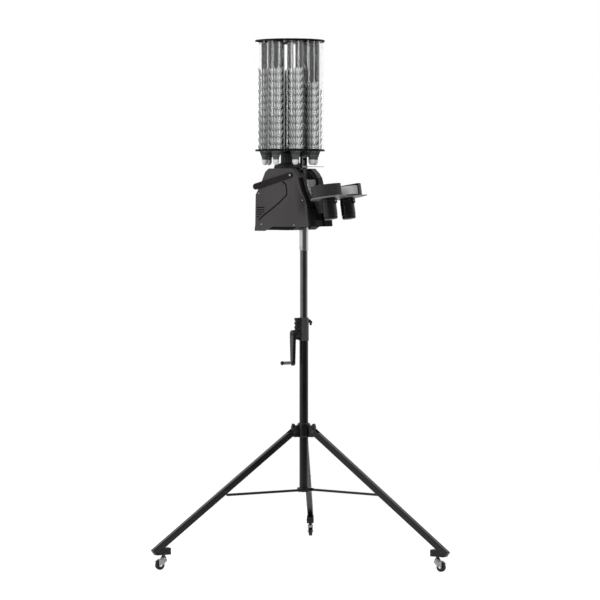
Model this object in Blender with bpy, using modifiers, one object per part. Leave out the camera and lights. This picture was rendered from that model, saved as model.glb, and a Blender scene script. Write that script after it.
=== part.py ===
"""Badminton serving machine on a crank-up tripod with casters.

Metres, +Z up, floor at z = 0. The machine throws along -Y.
Head pieces are written with (forward, side, up): forward is -Y, side is +X.
Stand pieces are written with (out, across, up): out points away from the mast.
"""

from math import atan2, cos, hypot, pi, radians, sin, tan

import bmesh
import bpy
from mathutils import Matrix, Vector

# Clearances
SEAT = 0.0003
SLIDE_GAP = 0.0005

# Legs and casters
LEG_ANGLES = (270, 30, 150)
LEG_INCLINE = radians(36)
LEG_LENGTH = 0.7725
LEG_SIZE = 0.025
LEG_WALL = 0.0015
LEG_CORNER = 0.0025
LEG_HEEL = 0.012
LEG_SLOT = 0.025
LEG_PLUG = 0.008
LEG_HEEL_GAP = 0.00094448
LEG_PIN_RADIUS = 0.004
WHEEL_RADIUS = 0.0185
WHEEL_WIDTH = 0.015
WHEEL_TRAIL = 0.016
AXLE_RADIUS = 0.003
CASTER_SETBACK = 0.0544
LEG_AXIS_OVER_BLOCK = 0.0145
BLOCK_OVER_WHEEL = 0.022
BLOCK_HEIGHT = 0.027
BLOCK_REACH = 0.027
BLOCK_PAST_LEG = 0.002
STEM_RADIUS = 0.004
STEM_DEPTH = 0.018
FORK_CHEEK = 0.002
FORK_GAP = 0.0015
FORK_CROWN = 0.004
SWIVEL_HEAD_RADIUS = 0.012

# Braces and collars
BRACE_ALONG_LEG = 0.3889
BRACE_DROP = 0.0147
BRACE_HEIGHT = 0.010
BRACE_THICKNESS = 0.003
RING_WALL = 0.010
RING_HEIGHT = 0.016
RING_EAR = 0.003
COLLAR_WALL = 0.012
COLLAR_HEIGHT = 0.058
COLLAR_BELOW_PIVOT = 0.0246
LUG_CLEARANCE = 0.004
LUG_REACH = 0.009

# Mast
MAST_UPPER_RADIUS = 0.0155
MAST_WALL = 0.002
MAST_BELOW_BRACE = 0.004
MAST_LOWER_LENGTH = 0.627
MAST_UPPER_INSIDE = 0.345
MAST_EXTENSION = 0.276
SLEEVE_WALL = 0.003
SLEEVE_LENGTH = 0.094
SLEEVE_GRIP = 0.084
SLEEVE_TO_HEAD = 0.083

# Crank unit
CRANK_ANGLE = radians(150)
HOUSING_WALL = 0.0025
HOUSING_HEIGHT = 0.094
HOUSING_OVERLAP = 0.012
GEARBOX_PAST_HOUSING = 0.0065
GEARBOX_RADIUS = 0.0155
GEARBOX_HEIGHT = 0.050
GEARBOX_RIBS = 3
CRANK_AXIS_HEIGHT = 0.026
CRANK_BOSS_RADIUS = 0.016
CRANK_BOSS_PROUD = 0.001
CRANK_SHAFT_RADIUS = 0.004
CRANK_THROW = 0.116
CRANK_ARM_WIDTH = 0.036
CRANK_ARM_TIP = 0.024
CRANK_ARM_THICKNESS = 0.013
GRIP_RADIUS = 0.0065
GRIP_LENGTH = 0.048
GRIP_PIN_RADIUS = 0.003
KNOB_HEIGHT = 0.078
KNOB_STEM_RADIUS = 0.004
KNOB_WING = 0.028

# Head shell: outline points are (forward, up) from the mast axis and the head's underside
HEAD_HALF_WIDTH = 0.0925
SHELL_WALL = 0.003
SHELL_EDGE = 0.003
SHELL_TOP = 0.252
COVER_LOWER_EDGE = 0.014
REAR_OUTLINE = (
    (-0.182, -0.004),
    (-0.178, 0.021),
    (-0.176, 0.144),
    (-0.165, 0.163),
    (-0.148, 0.196),
    (-0.129, 0.238),
    (-0.112, SHELL_TOP),
)
FRONT_OUTLINE = (
    (-0.002, SHELL_TOP),
    (0.018, 0.233),
    (0.031, 0.214),
    (0.045, 0.163),
    (0.065, 0.125),
    (0.073, 0.102),
    (0.082, COVER_LOWER_EDGE),
)
LOWER_STEP = ((-0.090, COVER_LOWER_EDGE), (-0.131, -0.004))
GROOVE_LINE = (
    (-0.0442, 0.198),
    (-0.0278, 0.1866),
    (-0.0234, 0.1628),
    (-0.0234, 0.144),
    (-0.0558, 0.1156),
    (-0.0951, 0.0874),
    (-0.1345, 0.0616),
    (-0.160, 0.0406),
)
GROOVE_WIDTH = 0.003
GROOVE_DEPTH = 0.0012
VENT_ENDS = (-0.130, -0.1312, -0.1312, -0.1443, -0.1554)
VENT_START = -0.172
VENT_TOP = 0.0923
VENT_PITCH = 0.0093
VENT_HEIGHT = 0.004

# Base tray and the tilt posts it carries
TRAY_REAR = -0.172
TRAY_FRONT = 0.076
TRAY_RIM = 0.040
TRAY_STEP_START = 0.0
TRAY_STEP_END = 0.023
MAST_BOSS_WALL = 0.005
MAST_BOSS_TOP = 0.060
POST_PAST_OPENING = 0.0015
POST_THICKNESS = 0.006
POST_RADIUS = 0.0075
FRONT_GRILLE_TOP = 0.088
FRONT_GRILLE_AT = 0.064
GRILLE_RIBS = 6

# Carry handle
HANDLE_PIVOT = (-0.005, 0.225)
HANDLE_GRIP = (-0.174, 0.178)
HANDLE_ARM_HALF = 0.011
HANDLE_THICKNESS = 0.0045
HANDLE_GRIP_RADIUS = 0.012
HANDLE_PIN_RADIUS = 0.004

# Launcher, measured from its tilt pin with its plate level
TILT_PIVOT = (0.060, 0.109)
TILT_REST = radians(8.7)
TILT_PIN_RADIUS = 0.004
LAUNCH_WHEEL_SETBACK = 0.0464
LAUNCH_WHEEL_HALF_GAP = 0.012
LAUNCH_WHEEL_RADIUS = 0.058
LAUNCH_WHEEL_HEIGHT = 0.036
LAUNCH_WHEEL_LIFT = 0.0048
LAUNCH_SHAFT_RADIUS = 0.003
PLATE_BASE = 0.0055
PLATE_THICKNESS = 0.0043
PLATE_DISC_MARGIN = 0.007
NECK_INSET = 0.007
GUARD_GAP = 0.0045
GUARD_HEADROOM = 0.004
GUARD_WALL = 0.003
GUARD_ROOF = 0.0045
GUARD_PAST_HALF = radians(1.5)
MOTOR_RADIUS = 0.029
MOTOR_LENGTH = 0.087
MOTOR_BOSS_RADIUS = 0.0085
PLATE_MIDDLE_REAR = 0.0544
PLATE_MIDDLE_FRONT = 0.0456
PLATE_MIDDLE_INSET = 0.008
PLATE_LUG_SIDE = (0.030, 0.042)
PLATE_LUG_ROOT = 0.0225
PLATE_LUG_PROUD = 0.0015
BRACKET_SIDE = 0.003

# Shuttle channel and claw
CHANNEL_CLEARANCE = 0.0005
CHANNEL_WALL = 0.0017
CHANNEL_BACK = 0.0023
HOOD_TOP = 0.245
HOOD_BOTTOM = 0.206
CHUTE_BEND = 0.022
CHUTE_LOWEST = 0.1245
RAIL_FORWARD = -0.001
RAIL_DEPTH = 0.011
RAIL_SPACING = 0.035
RAIL_THICKNESS = 0.0025
RAIL_HEIGHT = 0.047
CLAW_BLOCK_HEIGHT = 0.012
CLAW_HEIGHT = 0.259
CLAW_THICKNESS = 0.0025
CLAW_PRONG = 0.005
CLAW_CLEARANCE = 0.002
CLAW_REACH = 0.084
CARRIAGE_HEIGHT = 0.008

# Magazine, whose front column stands over the channel
COLUMN_PAST_CHANNEL = 0.0016
MAGAZINE_COLUMNS = 8
TUBE_GAP = 0.01036352
DISC_MARGIN = 0.0035
DISC_THICKNESS = 0.006
BOTTOM_DISC_BASE = 0.323
TUBE_LENGTH = 0.444
TUBE_CLEARANCE = 0.0015
TUBE_WALL = 0.002
SHAFT_RADIUS = 0.006
SHAFT_DEPTH = 0.030
HUB_RADIUS = 0.022
PEDESTAL_HALF_LENGTH = 0.045
PEDESTAL_HALF_WIDTH = 0.059
PEDESTAL_STEP = 0.020
TOWER_RADIUS = 0.0385
TOWER_WALL = 0.005
TOWER_FLUTES = 16
TOWER_FLUTE_DEPTH = 0.0012
MAGAZINE_MOTOR_RADIUS = 0.0185
MAGAZINE_MOTOR_LENGTH = 0.058

# Shuttlecocks: counts run from the column over the throw direction, turning towards +X
SHUTTLE_COUNTS = (10, 9, 12, 12, 12, 12, 12, 12)
SHUTTLE_LENGTH = 0.085
SHUTTLE_PITCH = 0.0284
CORK_RADIUS = 0.013
CORK_LENGTH = 0.025
SKIRT_RADIUS = 0.0315
SKIRT_WALL = 0.0008
CORK_BELOW_DISC = 0.057

# Electrics inside the shell
BATTERY_SIZE = (0.080, 0.130, 0.055)
BATTERY_CENTRE = -0.118
BOARD_SIZE = (0.100, 0.0016, 0.070)
BOARD_FORWARD = -0.115
BOARD_TO_COVER = 0.0115

ROUND = 24
SMALL_ROUND = 12
HOLE_ROUND = 16
STACK_SIDES = 10

# Worked out from the sizes above
MAST_LOWER_RADIUS = MAST_UPPER_RADIUS + SLIDE_GAP + MAST_WALL
RING_RADIUS = MAST_LOWER_RADIUS + RING_WALL
COLLAR_RADIUS = MAST_LOWER_RADIUS + COLLAR_WALL
HEEL_REACH = LEG_HEEL * cos(LEG_INCLINE) + LEG_SIZE / 2 * sin(LEG_INCLINE)
LEG_PIVOT_RADIUS = COLLAR_RADIUS + HEEL_REACH + LEG_HEEL_GAP
LUG_THICKNESS = LEG_SIZE - 2 * LEG_WALL - 2 * LUG_CLEARANCE
SLEEVE_RADIUS = MAST_UPPER_RADIUS + SLEEVE_WALL
MAST_BOSS_RADIUS = SLEEVE_RADIUS + MAST_BOSS_WALL
HOUSING_RADIUS = MAST_LOWER_RADIUS + HOUSING_WALL
GEARBOX_OFFSET = HOUSING_RADIUS + GEARBOX_PAST_HOUSING
CRANK_BOSS_END = GEARBOX_OFFSET + GEARBOX_RADIUS + CRANK_BOSS_PROUD
BLOCK_BOTTOM = 2 * WHEEL_RADIUS + BLOCK_OVER_WHEEL
BLOCK_TOP = BLOCK_BOTTOM + BLOCK_HEIGHT
BLOCK_WIDTH = LEG_SIZE + 2 * BLOCK_PAST_LEG
LEG_AXIS_OVER_CASTER = BLOCK_TOP + LEG_AXIS_OVER_BLOCK
LEG_REACH = LEG_PIVOT_RADIUS + LEG_LENGTH * cos(LEG_INCLINE)
STEM_ALONG_LEG = LEG_LENGTH - CASTER_SETBACK
STEM_OUT = LEG_PIVOT_RADIUS + STEM_ALONG_LEG * cos(LEG_INCLINE)
PIVOT_HEIGHT = LEG_AXIS_OVER_CASTER + STEM_ALONG_LEG * sin(LEG_INCLINE)
BRACE_OUT = LEG_PIVOT_RADIUS + BRACE_ALONG_LEG * cos(LEG_INCLINE) - BRACE_DROP * sin(LEG_INCLINE)
BRACE_LEVEL = PIVOT_HEIGHT - BRACE_ALONG_LEG * sin(LEG_INCLINE) - BRACE_DROP * cos(LEG_INCLINE)
BRACE_ROOT = LEG_PIVOT_RADIUS - BRACE_DROP
BRACE_SIDE = LEG_SIZE / 2 + SLIDE_GAP
MAST_BOTTOM = BRACE_LEVEL - MAST_BELOW_BRACE
MAST_LOWER_TOP = MAST_BOTTOM + MAST_LOWER_LENGTH
HOUSING_BOTTOM = MAST_LOWER_TOP - HOUSING_OVERLAP
HOUSING_TOP = HOUSING_BOTTOM + HOUSING_HEIGHT
SLEEVE_BOTTOM = HOUSING_TOP + MAST_EXTENSION
HEAD_HEIGHT = SLEEVE_BOTTOM + SLEEVE_TO_HEAD
TIP_REACH = LEG_REACH + LEG_SIZE / 2 * sin(LEG_INCLINE)
REAR_LEG = radians(30)
CORNER_CENTRE = LEG_SIZE / 2 - LEG_CORNER
REAR_SLOPE = sin(REAR_LEG) * sin(LEG_INCLINE)
REAR_REACH = (
    LEG_REACH * sin(REAR_LEG)
    + CORNER_CENTRE * (cos(REAR_LEG) + REAR_SLOPE)
    + LEG_CORNER * hypot(cos(REAR_LEG), REAR_SLOPE)
)
MAST_Y = (TIP_REACH - REAR_REACH) / 2
TOP_DISC_BASE = BOTTOM_DISC_BASE + DISC_THICKNESS + TUBE_LENGTH + 2 * SEAT
CORK_BOTTOM = BOTTOM_DISC_BASE - CORK_BELOW_DISC
TUBE_RADIUS = SKIRT_RADIUS + TUBE_CLEARANCE + TUBE_WALL
COLUMN_RADIUS = (TUBE_RADIUS + TUBE_GAP / 2) / sin(pi / MAGAZINE_COLUMNS)
DISC_RADIUS = COLUMN_RADIUS + TUBE_RADIUS + DISC_MARGIN
CHANNEL_RADIUS = SKIRT_RADIUS + CHANNEL_CLEARANCE
CHANNEL_FORWARD = CHANNEL_BACK + CHANNEL_WALL + CHANNEL_RADIUS
CHUTE_STRAIGHT = HOOD_BOTTOM - SEAT - CHUTE_BEND - CHANNEL_RADIUS - CHANNEL_WALL - CHUTE_LOWEST
MAGAZINE_FORWARD = CHANNEL_FORWARD + COLUMN_PAST_CHANNEL - COLUMN_RADIUS
CLAW_GAP = 2 * (CORK_RADIUS + CLAW_CLEARANCE)
OPENING_HALF_WIDTH = CHANNEL_RADIUS + CHANNEL_WALL + SEAT
POST_INSET = OPENING_HALF_WIDTH + POST_PAST_OPENING
NECK_HALF_WIDTH = OPENING_HALF_WIDTH - NECK_INSET
LAUNCH_FORWARD = LAUNCH_WHEEL_RADIUS + LAUNCH_WHEEL_SETBACK
LAUNCH_SPACING = 2 * (LAUNCH_WHEEL_RADIUS + LAUNCH_WHEEL_HALF_GAP)
PLATE_TOP = PLATE_BASE + PLATE_THICKNESS
LAUNCH_WHEEL_BASE = PLATE_TOP + LAUNCH_WHEEL_LIFT
GUARD_RADIUS = LAUNCH_WHEEL_RADIUS + GUARD_GAP + GUARD_WALL
GUARD_HEIGHT = LAUNCH_WHEEL_LIFT - SEAT + LAUNCH_WHEEL_HEIGHT + GUARD_HEADROOM + GUARD_ROOF
PLATE_DISC_RADIUS = GUARD_RADIUS + PLATE_DISC_MARGIN

# An outline is drawn in (x, y) and pulled along z: these turn it to where it stands
LEVEL = Matrix.Identity(4)
STAND_SIDE = Matrix(((1, 0, 0, 0), (0, 0, -1, 0), (0, 1, 0, 0), (0, 0, 0, 1)))
HEAD_SIDE = Matrix(((0, 0, -1, 0), (-1, 0, 0, 0), (0, 1, 0, 0), (0, 0, 0, 1)))
ALONG_ACROSS = Matrix.Rotation(-pi / 2, 4, "X")
ALONG_OUT = Matrix.Rotation(pi / 2, 4, "Y")


def clear_scene():
    for item in list(bpy.data.objects):
        bpy.data.objects.remove(item, do_unlink=True)


def make_collection(name):
    found = bpy.data.collections.get(name) or bpy.data.collections.new(name)
    if found.name not in bpy.context.scene.collection.children:
        bpy.context.scene.collection.children.link(found)
    return found


def make_material(name, colour, roughness, metallic=0.0, alpha=1.0):
    material = bpy.data.materials.new(name)
    material.use_nodes = True
    shader = material.node_tree.nodes["Principled BSDF"]
    shader.inputs["Base Color"].default_value = (*colour, 1.0)
    shader.inputs["Roughness"].default_value = roughness
    shader.inputs["Metallic"].default_value = metallic
    shader.inputs["Alpha"].default_value = alpha
    return material


clear_scene()
PARTS = make_collection("badminton_serving_machine")
CUTTERS = make_collection("cutters")

STEEL_BLACK = make_material("black_painted_steel", (0.012, 0.012, 0.013), 0.28)
PLASTIC_BLACK = make_material("black_plastic", (0.018, 0.018, 0.019), 0.45)
SHELL_GREY = make_material("charcoal_plastic", (0.062, 0.058, 0.061), 0.5)
CHROME = make_material("chrome", (0.75, 0.75, 0.75), 0.12, 1.0)
ZINC = make_material("zinc_steel", (0.62, 0.63, 0.64), 0.35, 1.0)
RUBBER = make_material("dark_rubber", (0.02, 0.02, 0.02), 0.7)
FOAM_GREY = make_material("grey_tread", (0.42, 0.43, 0.44), 0.8)
CLEAR = make_material("clear_tube", (0.8, 0.83, 0.84), 0.05, 0.0, 0.3)
NYLON = make_material("white_nylon", (0.75, 0.77, 0.76), 0.4)
BOARD_GREEN = make_material("board_green", (0.02, 0.12, 0.05), 0.5)


def empty(name, parent=None, location=(0, 0, 0), rotation=(0, 0, 0)):
    frame = bpy.data.objects.new(name, None)
    PARTS.objects.link(frame)
    frame.parent = parent
    frame.location = location
    frame.rotation_euler = rotation
    return frame


def place(name, mesh, parent, material, turn=LEVEL, location=(0, 0, 0)):
    item = bpy.data.objects.new(name, mesh)
    item.parent = parent
    item.matrix_local = Matrix.Translation(location) @ turn
    if material is None:
        CUTTERS.objects.link(item)
        item.hide_render = True
        item.display_type = "WIRE"
    else:
        PARTS.objects.link(item)
        mesh.materials.append(material)
    return item


def from_bmesh(name, bm, parent, material, turn=LEVEL, location=(0, 0, 0), smooth=False):
    mesh = bpy.data.meshes.new(name)
    bmesh.ops.recalc_face_normals(bm, faces=bm.faces)
    bm.to_mesh(mesh)
    bm.free()
    if smooth:
        mesh.shade_smooth()
        mesh.set_sharp_from_angle(angle=radians(35))
    return place(name, mesh, parent, material, turn, location)


def block(name, low, high, parent, material=None):
    """A box between two corners."""
    bm = bmesh.new()
    bmesh.ops.create_cube(bm, size=1.0)
    size = [b - a for a, b in zip(low, high)]
    middle = [(a + b) / 2 for a, b in zip(low, high)]
    bmesh.ops.scale(bm, vec=size, verts=bm.verts)
    bmesh.ops.translate(bm, vec=middle, verts=bm.verts)
    return from_bmesh(name, bm, parent, material)


def head_block(name, forward, side, up, parent, material=None):
    """A box given by its (low, high) ranges forward, to the side and up."""
    low = (side[0], -forward[1], up[0])
    high = (side[1], -forward[0], up[1])
    return block(name, low, high, parent, material)


def cylinder(name, radius, low, high, parent, material=None, turn=LEVEL, at=(0, 0, 0), sides=ROUND, tip=None):
    """A cylinder along local z from low to high; tip is the radius at its high end."""
    bm = bmesh.new()
    bmesh.ops.create_cone(
        bm,
        cap_ends=True,
        segments=sides,
        radius1=radius,
        radius2=radius if tip is None else tip,
        depth=high - low,
    )
    bmesh.ops.translate(bm, vec=(0, 0, (low + high) / 2), verts=bm.verts)
    return from_bmesh(name, bm, parent, material, turn, at, smooth=True)


def turned(name, profile, parent, material, turn=LEVEL, at=(0, 0, 0), sides=ROUND, closed=False):
    """A profile of (radius, height), top to bottom on its outer side, turned about local z."""
    bm = bmesh.new()
    points = [bm.verts.new((radius, 0, height)) for radius, height in profile]
    for first, second in zip(points, points[1:]):
        bm.edges.new((first, second))
    if closed:
        bm.edges.new((points[-1], points[0]))
    mesh = bpy.data.meshes.new(name)
    bm.to_mesh(mesh)
    bm.free()
    item = place(name, mesh, parent, material, turn, at)
    screw = item.modifiers.new("turn", "SCREW")
    screw.axis = "Z"
    screw.steps = sides
    screw.render_steps = sides
    screw.use_merge_vertices = True
    screw.merge_threshold = 0.00001
    screw.use_smooth_shade = True
    return item


def tube_profile(outer, inner, low, high):
    return [(outer, high), (outer, low), (inner, low), (inner, high)]


def outline_piece(name, outlines, low, high, parent, material=None, turn=LEVEL, at=(0, 0, 0)):
    """Flat outlines, the first one solid and the rest holes, pulled from low to high."""
    curve = bpy.data.curves.new(name, "CURVE")
    curve.dimensions = "2D"
    curve.fill_mode = "BOTH"
    curve.extrude = (high - low) / 2
    for outline in outlines:
        spline = curve.splines.new("POLY")
        spline.points.add(len(outline) - 1)
        for point, (x, y) in zip(spline.points, outline):
            point.co = (x, y, 0, 1)
        spline.use_cyclic_u = True
    flat = bpy.data.objects.new(name + "_outline", curve)
    CUTTERS.objects.link(flat)
    graph = bpy.context.evaluated_depsgraph_get()
    mesh = bpy.data.meshes.new_from_object(flat.evaluated_get(graph))
    bpy.data.objects.remove(flat, do_unlink=True)
    bm = bmesh.new()
    bm.from_mesh(mesh)
    bmesh.ops.remove_doubles(bm, verts=bm.verts, dist=0.00001)
    bmesh.ops.translate(bm, vec=(0, 0, (low + high) / 2), verts=bm.verts)
    bpy.data.meshes.remove(mesh)
    return from_bmesh(name, bm, parent, material, turn, at)


def side_piece(name, outlines, side, parent, material=None):
    """A (forward, up) outline pulled across the head between two side values."""
    return outline_piece(name, outlines, -side[1], -side[0], parent, material, HEAD_SIDE)


def stand_piece(name, outlines, across, parent, material=None):
    """An (out, up) outline pulled across a leg's plane between two values."""
    return outline_piece(name, outlines, -across[1], -across[0], parent, material, STAND_SIDE)


def circle(radius, centre=(0, 0), sides=ROUND):
    return arc(radius, 0, 2 * pi * (1 - 1 / sides), centre, sides - 1)


def arc(radius, start, end, centre=(0, 0), steps=12):
    points = []
    for step in range(steps + 1):
        angle = start + (end - start) * step / steps
        points.append((centre[0] + radius * cos(angle), centre[1] + radius * sin(angle)))
    return points


def rounded(points, radius, steps=4):
    """The outline with each corner turned into an arc of about this radius."""
    result = []
    for index, corner in enumerate(points):
        before = Vector(points[index - 1])
        here = Vector(corner)
        after = Vector(points[(index + 1) % len(points)])
        into = (before - here).normalized()
        out = (after - here).normalized()
        half = into.angle(out) / 2
        back = min(radius / tan(half), (before - here).length * 0.45, (after - here).length * 0.45)
        reach = back * tan(half)
        centre = here + (into + out).normalized() * (reach / sin(half))
        first = here + into * back - centre
        last = here + out * back - centre
        begin = atan2(first.y, first.x)
        sweep = (atan2(last.y, last.x) - begin + pi) % (2 * pi) - pi
        for step in range(steps + 1):
            angle = begin + sweep * step / steps
            result.append((centre.x + reach * cos(angle), centre.y + reach * sin(angle)))
    return result


def capsule(first, last, radius, end_radius=None, steps=8):
    """The outline round two circles joined by straight sides."""
    end_radius = radius if end_radius is None else end_radius
    heading = atan2(last[1] - first[1], last[0] - first[0])
    near = arc(radius, heading + pi / 2, heading + 3 * pi / 2, first, steps)
    far = arc(end_radius, heading - pi / 2, heading + pi / 2, last, steps)
    return near + far


def bevel(item, width, segments=2, angle=40):
    modifier = item.modifiers.new("rounded_edges", "BEVEL")
    modifier.width = width
    modifier.segments = segments
    modifier.limit_method = "ANGLE"
    modifier.angle_limit = radians(angle)
    modifier.use_clamp_overlap = True
    return item


def combine(item, operation, others):
    for other in others:
        modifier = item.modifiers.new(operation.lower(), "BOOLEAN")
        modifier.operation = operation
        modifier.solver = "EXACT"
        modifier.object = other
    return item


def cut(item, *others):
    return combine(item, "DIFFERENCE", others)


def fuse(item, *others):
    return combine(item, "UNION", others)


def keep_inside(item, *others):
    return combine(item, "INTERSECT", others)


# Stand


def build_mast(mast):
    inner = MAST_LOWER_RADIUS - MAST_WALL
    turned(
        "mast_lower_tube",
        tube_profile(MAST_LOWER_RADIUS, inner, MAST_BOTTOM, MAST_LOWER_TOP),
        mast,
        STEEL_BLACK,
        closed=True,
    )


def build_lower_collar(mast, leg_frames):
    bore = MAST_LOWER_RADIUS + SEAT
    low = BRACE_LEVEL - RING_HEIGHT / 2
    high = BRACE_LEVEL + RING_HEIGHT / 2
    ring = turned(
        "lower_collar",
        tube_profile(RING_RADIUS, bore, low, high),
        mast,
        STEEL_BLACK,
        closed=True,
    )
    inside = BRACE_SIDE + BRACE_THICKNESS + SLIDE_GAP
    for number, frame in enumerate(leg_frames, 1):
        tip = (BRACE_ROOT, BRACE_LEVEL)
        ear = stand_piece(
            f"ring_ear_{number}",
            [capsule((RING_RADIUS - RING_WALL, BRACE_LEVEL), tip, RING_HEIGHT * 0.4)],
            (inside, inside + RING_EAR),
            frame,
        )
        pin = cylinder(
            f"ring_pin_{number}",
            LEG_PIN_RADIUS * 0.7,
            inside - BRACE_THICKNESS - SLIDE_GAP,
            inside + RING_EAR + 0.0015,
            frame,
            turn=ALONG_ACROSS,
            at=(BRACE_ROOT, 0, BRACE_LEVEL),
            sides=SMALL_ROUND,
        )
        fuse(ring, ear, pin)


def build_leg_collar(mast, leg_frames):
    low = PIVOT_HEIGHT - COLLAR_BELOW_PIVOT
    high = low + COLLAR_HEIGHT
    edge = 0.003
    outer = COLLAR_RADIUS
    bore = MAST_LOWER_RADIUS + SLIDE_GAP
    profile = [
        (outer - edge, high),
        (outer, high - edge),
        (outer, low + edge),
        (outer - edge, low),
        (bore, low),
        (bore, high),
    ]
    collar = turned("leg_collar", profile, mast, PLASTIC_BLACK, closed=True)
    root = MAST_LOWER_RADIUS + 0.004
    reach = LEG_PIVOT_RADIUS + LUG_REACH
    outline = [
        (root, low + 0.0005),
        (LEG_PIVOT_RADIUS + 0.002, low + 0.0005),
        (reach, low + 0.010),
        (reach, high - 0.012),
        (LEG_PIVOT_RADIUS + 0.004, high - 0.001),
        (root, high - 0.001),
    ]
    for number, frame in enumerate(leg_frames, 1):
        lug = stand_piece(
            f"collar_lug_{number}",
            [rounded(outline, 0.004, 3)],
            (-LUG_THICKNESS / 2, LUG_THICKNESS / 2),
            frame,
        )
        pin = cylinder(
            f"collar_pin_{number}",
            LEG_PIN_RADIUS,
            -LEG_SIZE / 2 - 0.002,
            LEG_SIZE / 2 + 0.002,
            frame,
            turn=ALONG_ACROSS,
            at=(LEG_PIVOT_RADIUS, 0, PIVOT_HEIGHT),
            sides=SMALL_ROUND,
        )
        fuse(collar, lug, pin)


def build_leg(number, frame):
    """The leg is drawn along its own x axis, from its pivot down to its plugged tip."""
    pivot = empty(
        f"leg_pivot_{number}",
        frame,
        (LEG_PIVOT_RADIUS, 0, PIVOT_HEIGHT),
        (0, LEG_INCLINE, 0),
    )
    half = LEG_SIZE / 2
    inner = half - LEG_WALL
    square = rounded([(-half, -half), (half, -half), (half, half), (-half, half)], LEG_CORNER, 3)
    leg = outline_piece(f"leg_{number}", [square], -LEG_HEEL, LEG_LENGTH, pivot, STEEL_BLACK, ALONG_OUT)
    hollow_end = LEG_LENGTH - LEG_PLUG
    hollow = block(f"leg_hollow_{number}", (-0.03, -inner, -inner), (hollow_end, inner, inner), pivot)
    slot = block(f"leg_slot_{number}", (-0.03, -inner + 0.001, -0.02), (LEG_SLOT, inner - 0.001, 0.02), pivot)
    eye = cylinder(
        f"leg_eye_{number}",
        LEG_PIN_RADIUS + SEAT,
        -0.02,
        0.02,
        pivot,
        turn=ALONG_ACROSS,
        sides=SMALL_ROUND,
    )
    under_tip = LEG_AXIS_OVER_CASTER - half / cos(LEG_INCLINE)
    slope = tan(LEG_INCLINE)
    inner_end = STEM_OUT - BLOCK_REACH
    buried = half * 0.6
    wedge = [
        (inner_end, BLOCK_BOTTOM),
        (STEM_OUT + (under_tip - BLOCK_BOTTOM) / slope - 0.002, BLOCK_BOTTOM),
        (STEM_OUT + (under_tip - BLOCK_BOTTOM) / slope - 0.002, BLOCK_BOTTOM + buried),
        (STEM_OUT + (under_tip - BLOCK_TOP) / slope, BLOCK_TOP + buried),
        (STEM_OUT + (under_tip - BLOCK_TOP) / slope, BLOCK_TOP),
        (inner_end, BLOCK_TOP),
    ]
    across = (-BLOCK_WIDTH / 2, BLOCK_WIDTH / 2)
    wedge_block = stand_piece(f"caster_block_{number}", [wedge], across, frame)
    stem_hole = cylinder(
        f"stem_hole_{number}",
        STEM_RADIUS + SEAT,
        BLOCK_BOTTOM - 0.005,
        BLOCK_BOTTOM + STEM_DEPTH + SEAT,
        frame,
        at=(STEM_OUT, 0, 0),
        sides=SMALL_ROUND,
    )
    cut(leg, hollow, slot, eye)
    fuse(leg, wedge_block)
    cut(leg, stem_hole)


def build_brace(number, frame):
    pivot = empty(f"brace_pivot_{number}", frame, (BRACE_ROOT, 0, BRACE_LEVEL))
    length = BRACE_OUT - BRACE_ROOT
    hole = circle(LEG_PIN_RADIUS * 0.7 + SEAT, (0, 0), SMALL_ROUND)
    bar = stand_piece(
        f"brace_{number}",
        [capsule((0, 0), (length, 0), BRACE_HEIGHT / 2), hole],
        (BRACE_SIDE, BRACE_SIDE + BRACE_THICKNESS),
        pivot,
        STEEL_BLACK,
    )
    head = cylinder(
        f"brace_rivet_{number}",
        BRACE_HEIGHT * 0.36,
        BRACE_SIDE + BRACE_THICKNESS / 2,
        BRACE_SIDE + BRACE_THICKNESS + 0.002,
        pivot,
        turn=ALONG_ACROSS,
        at=(length, 0, 0),
        sides=SMALL_ROUND,
    )
    fuse(bar, head)


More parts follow.
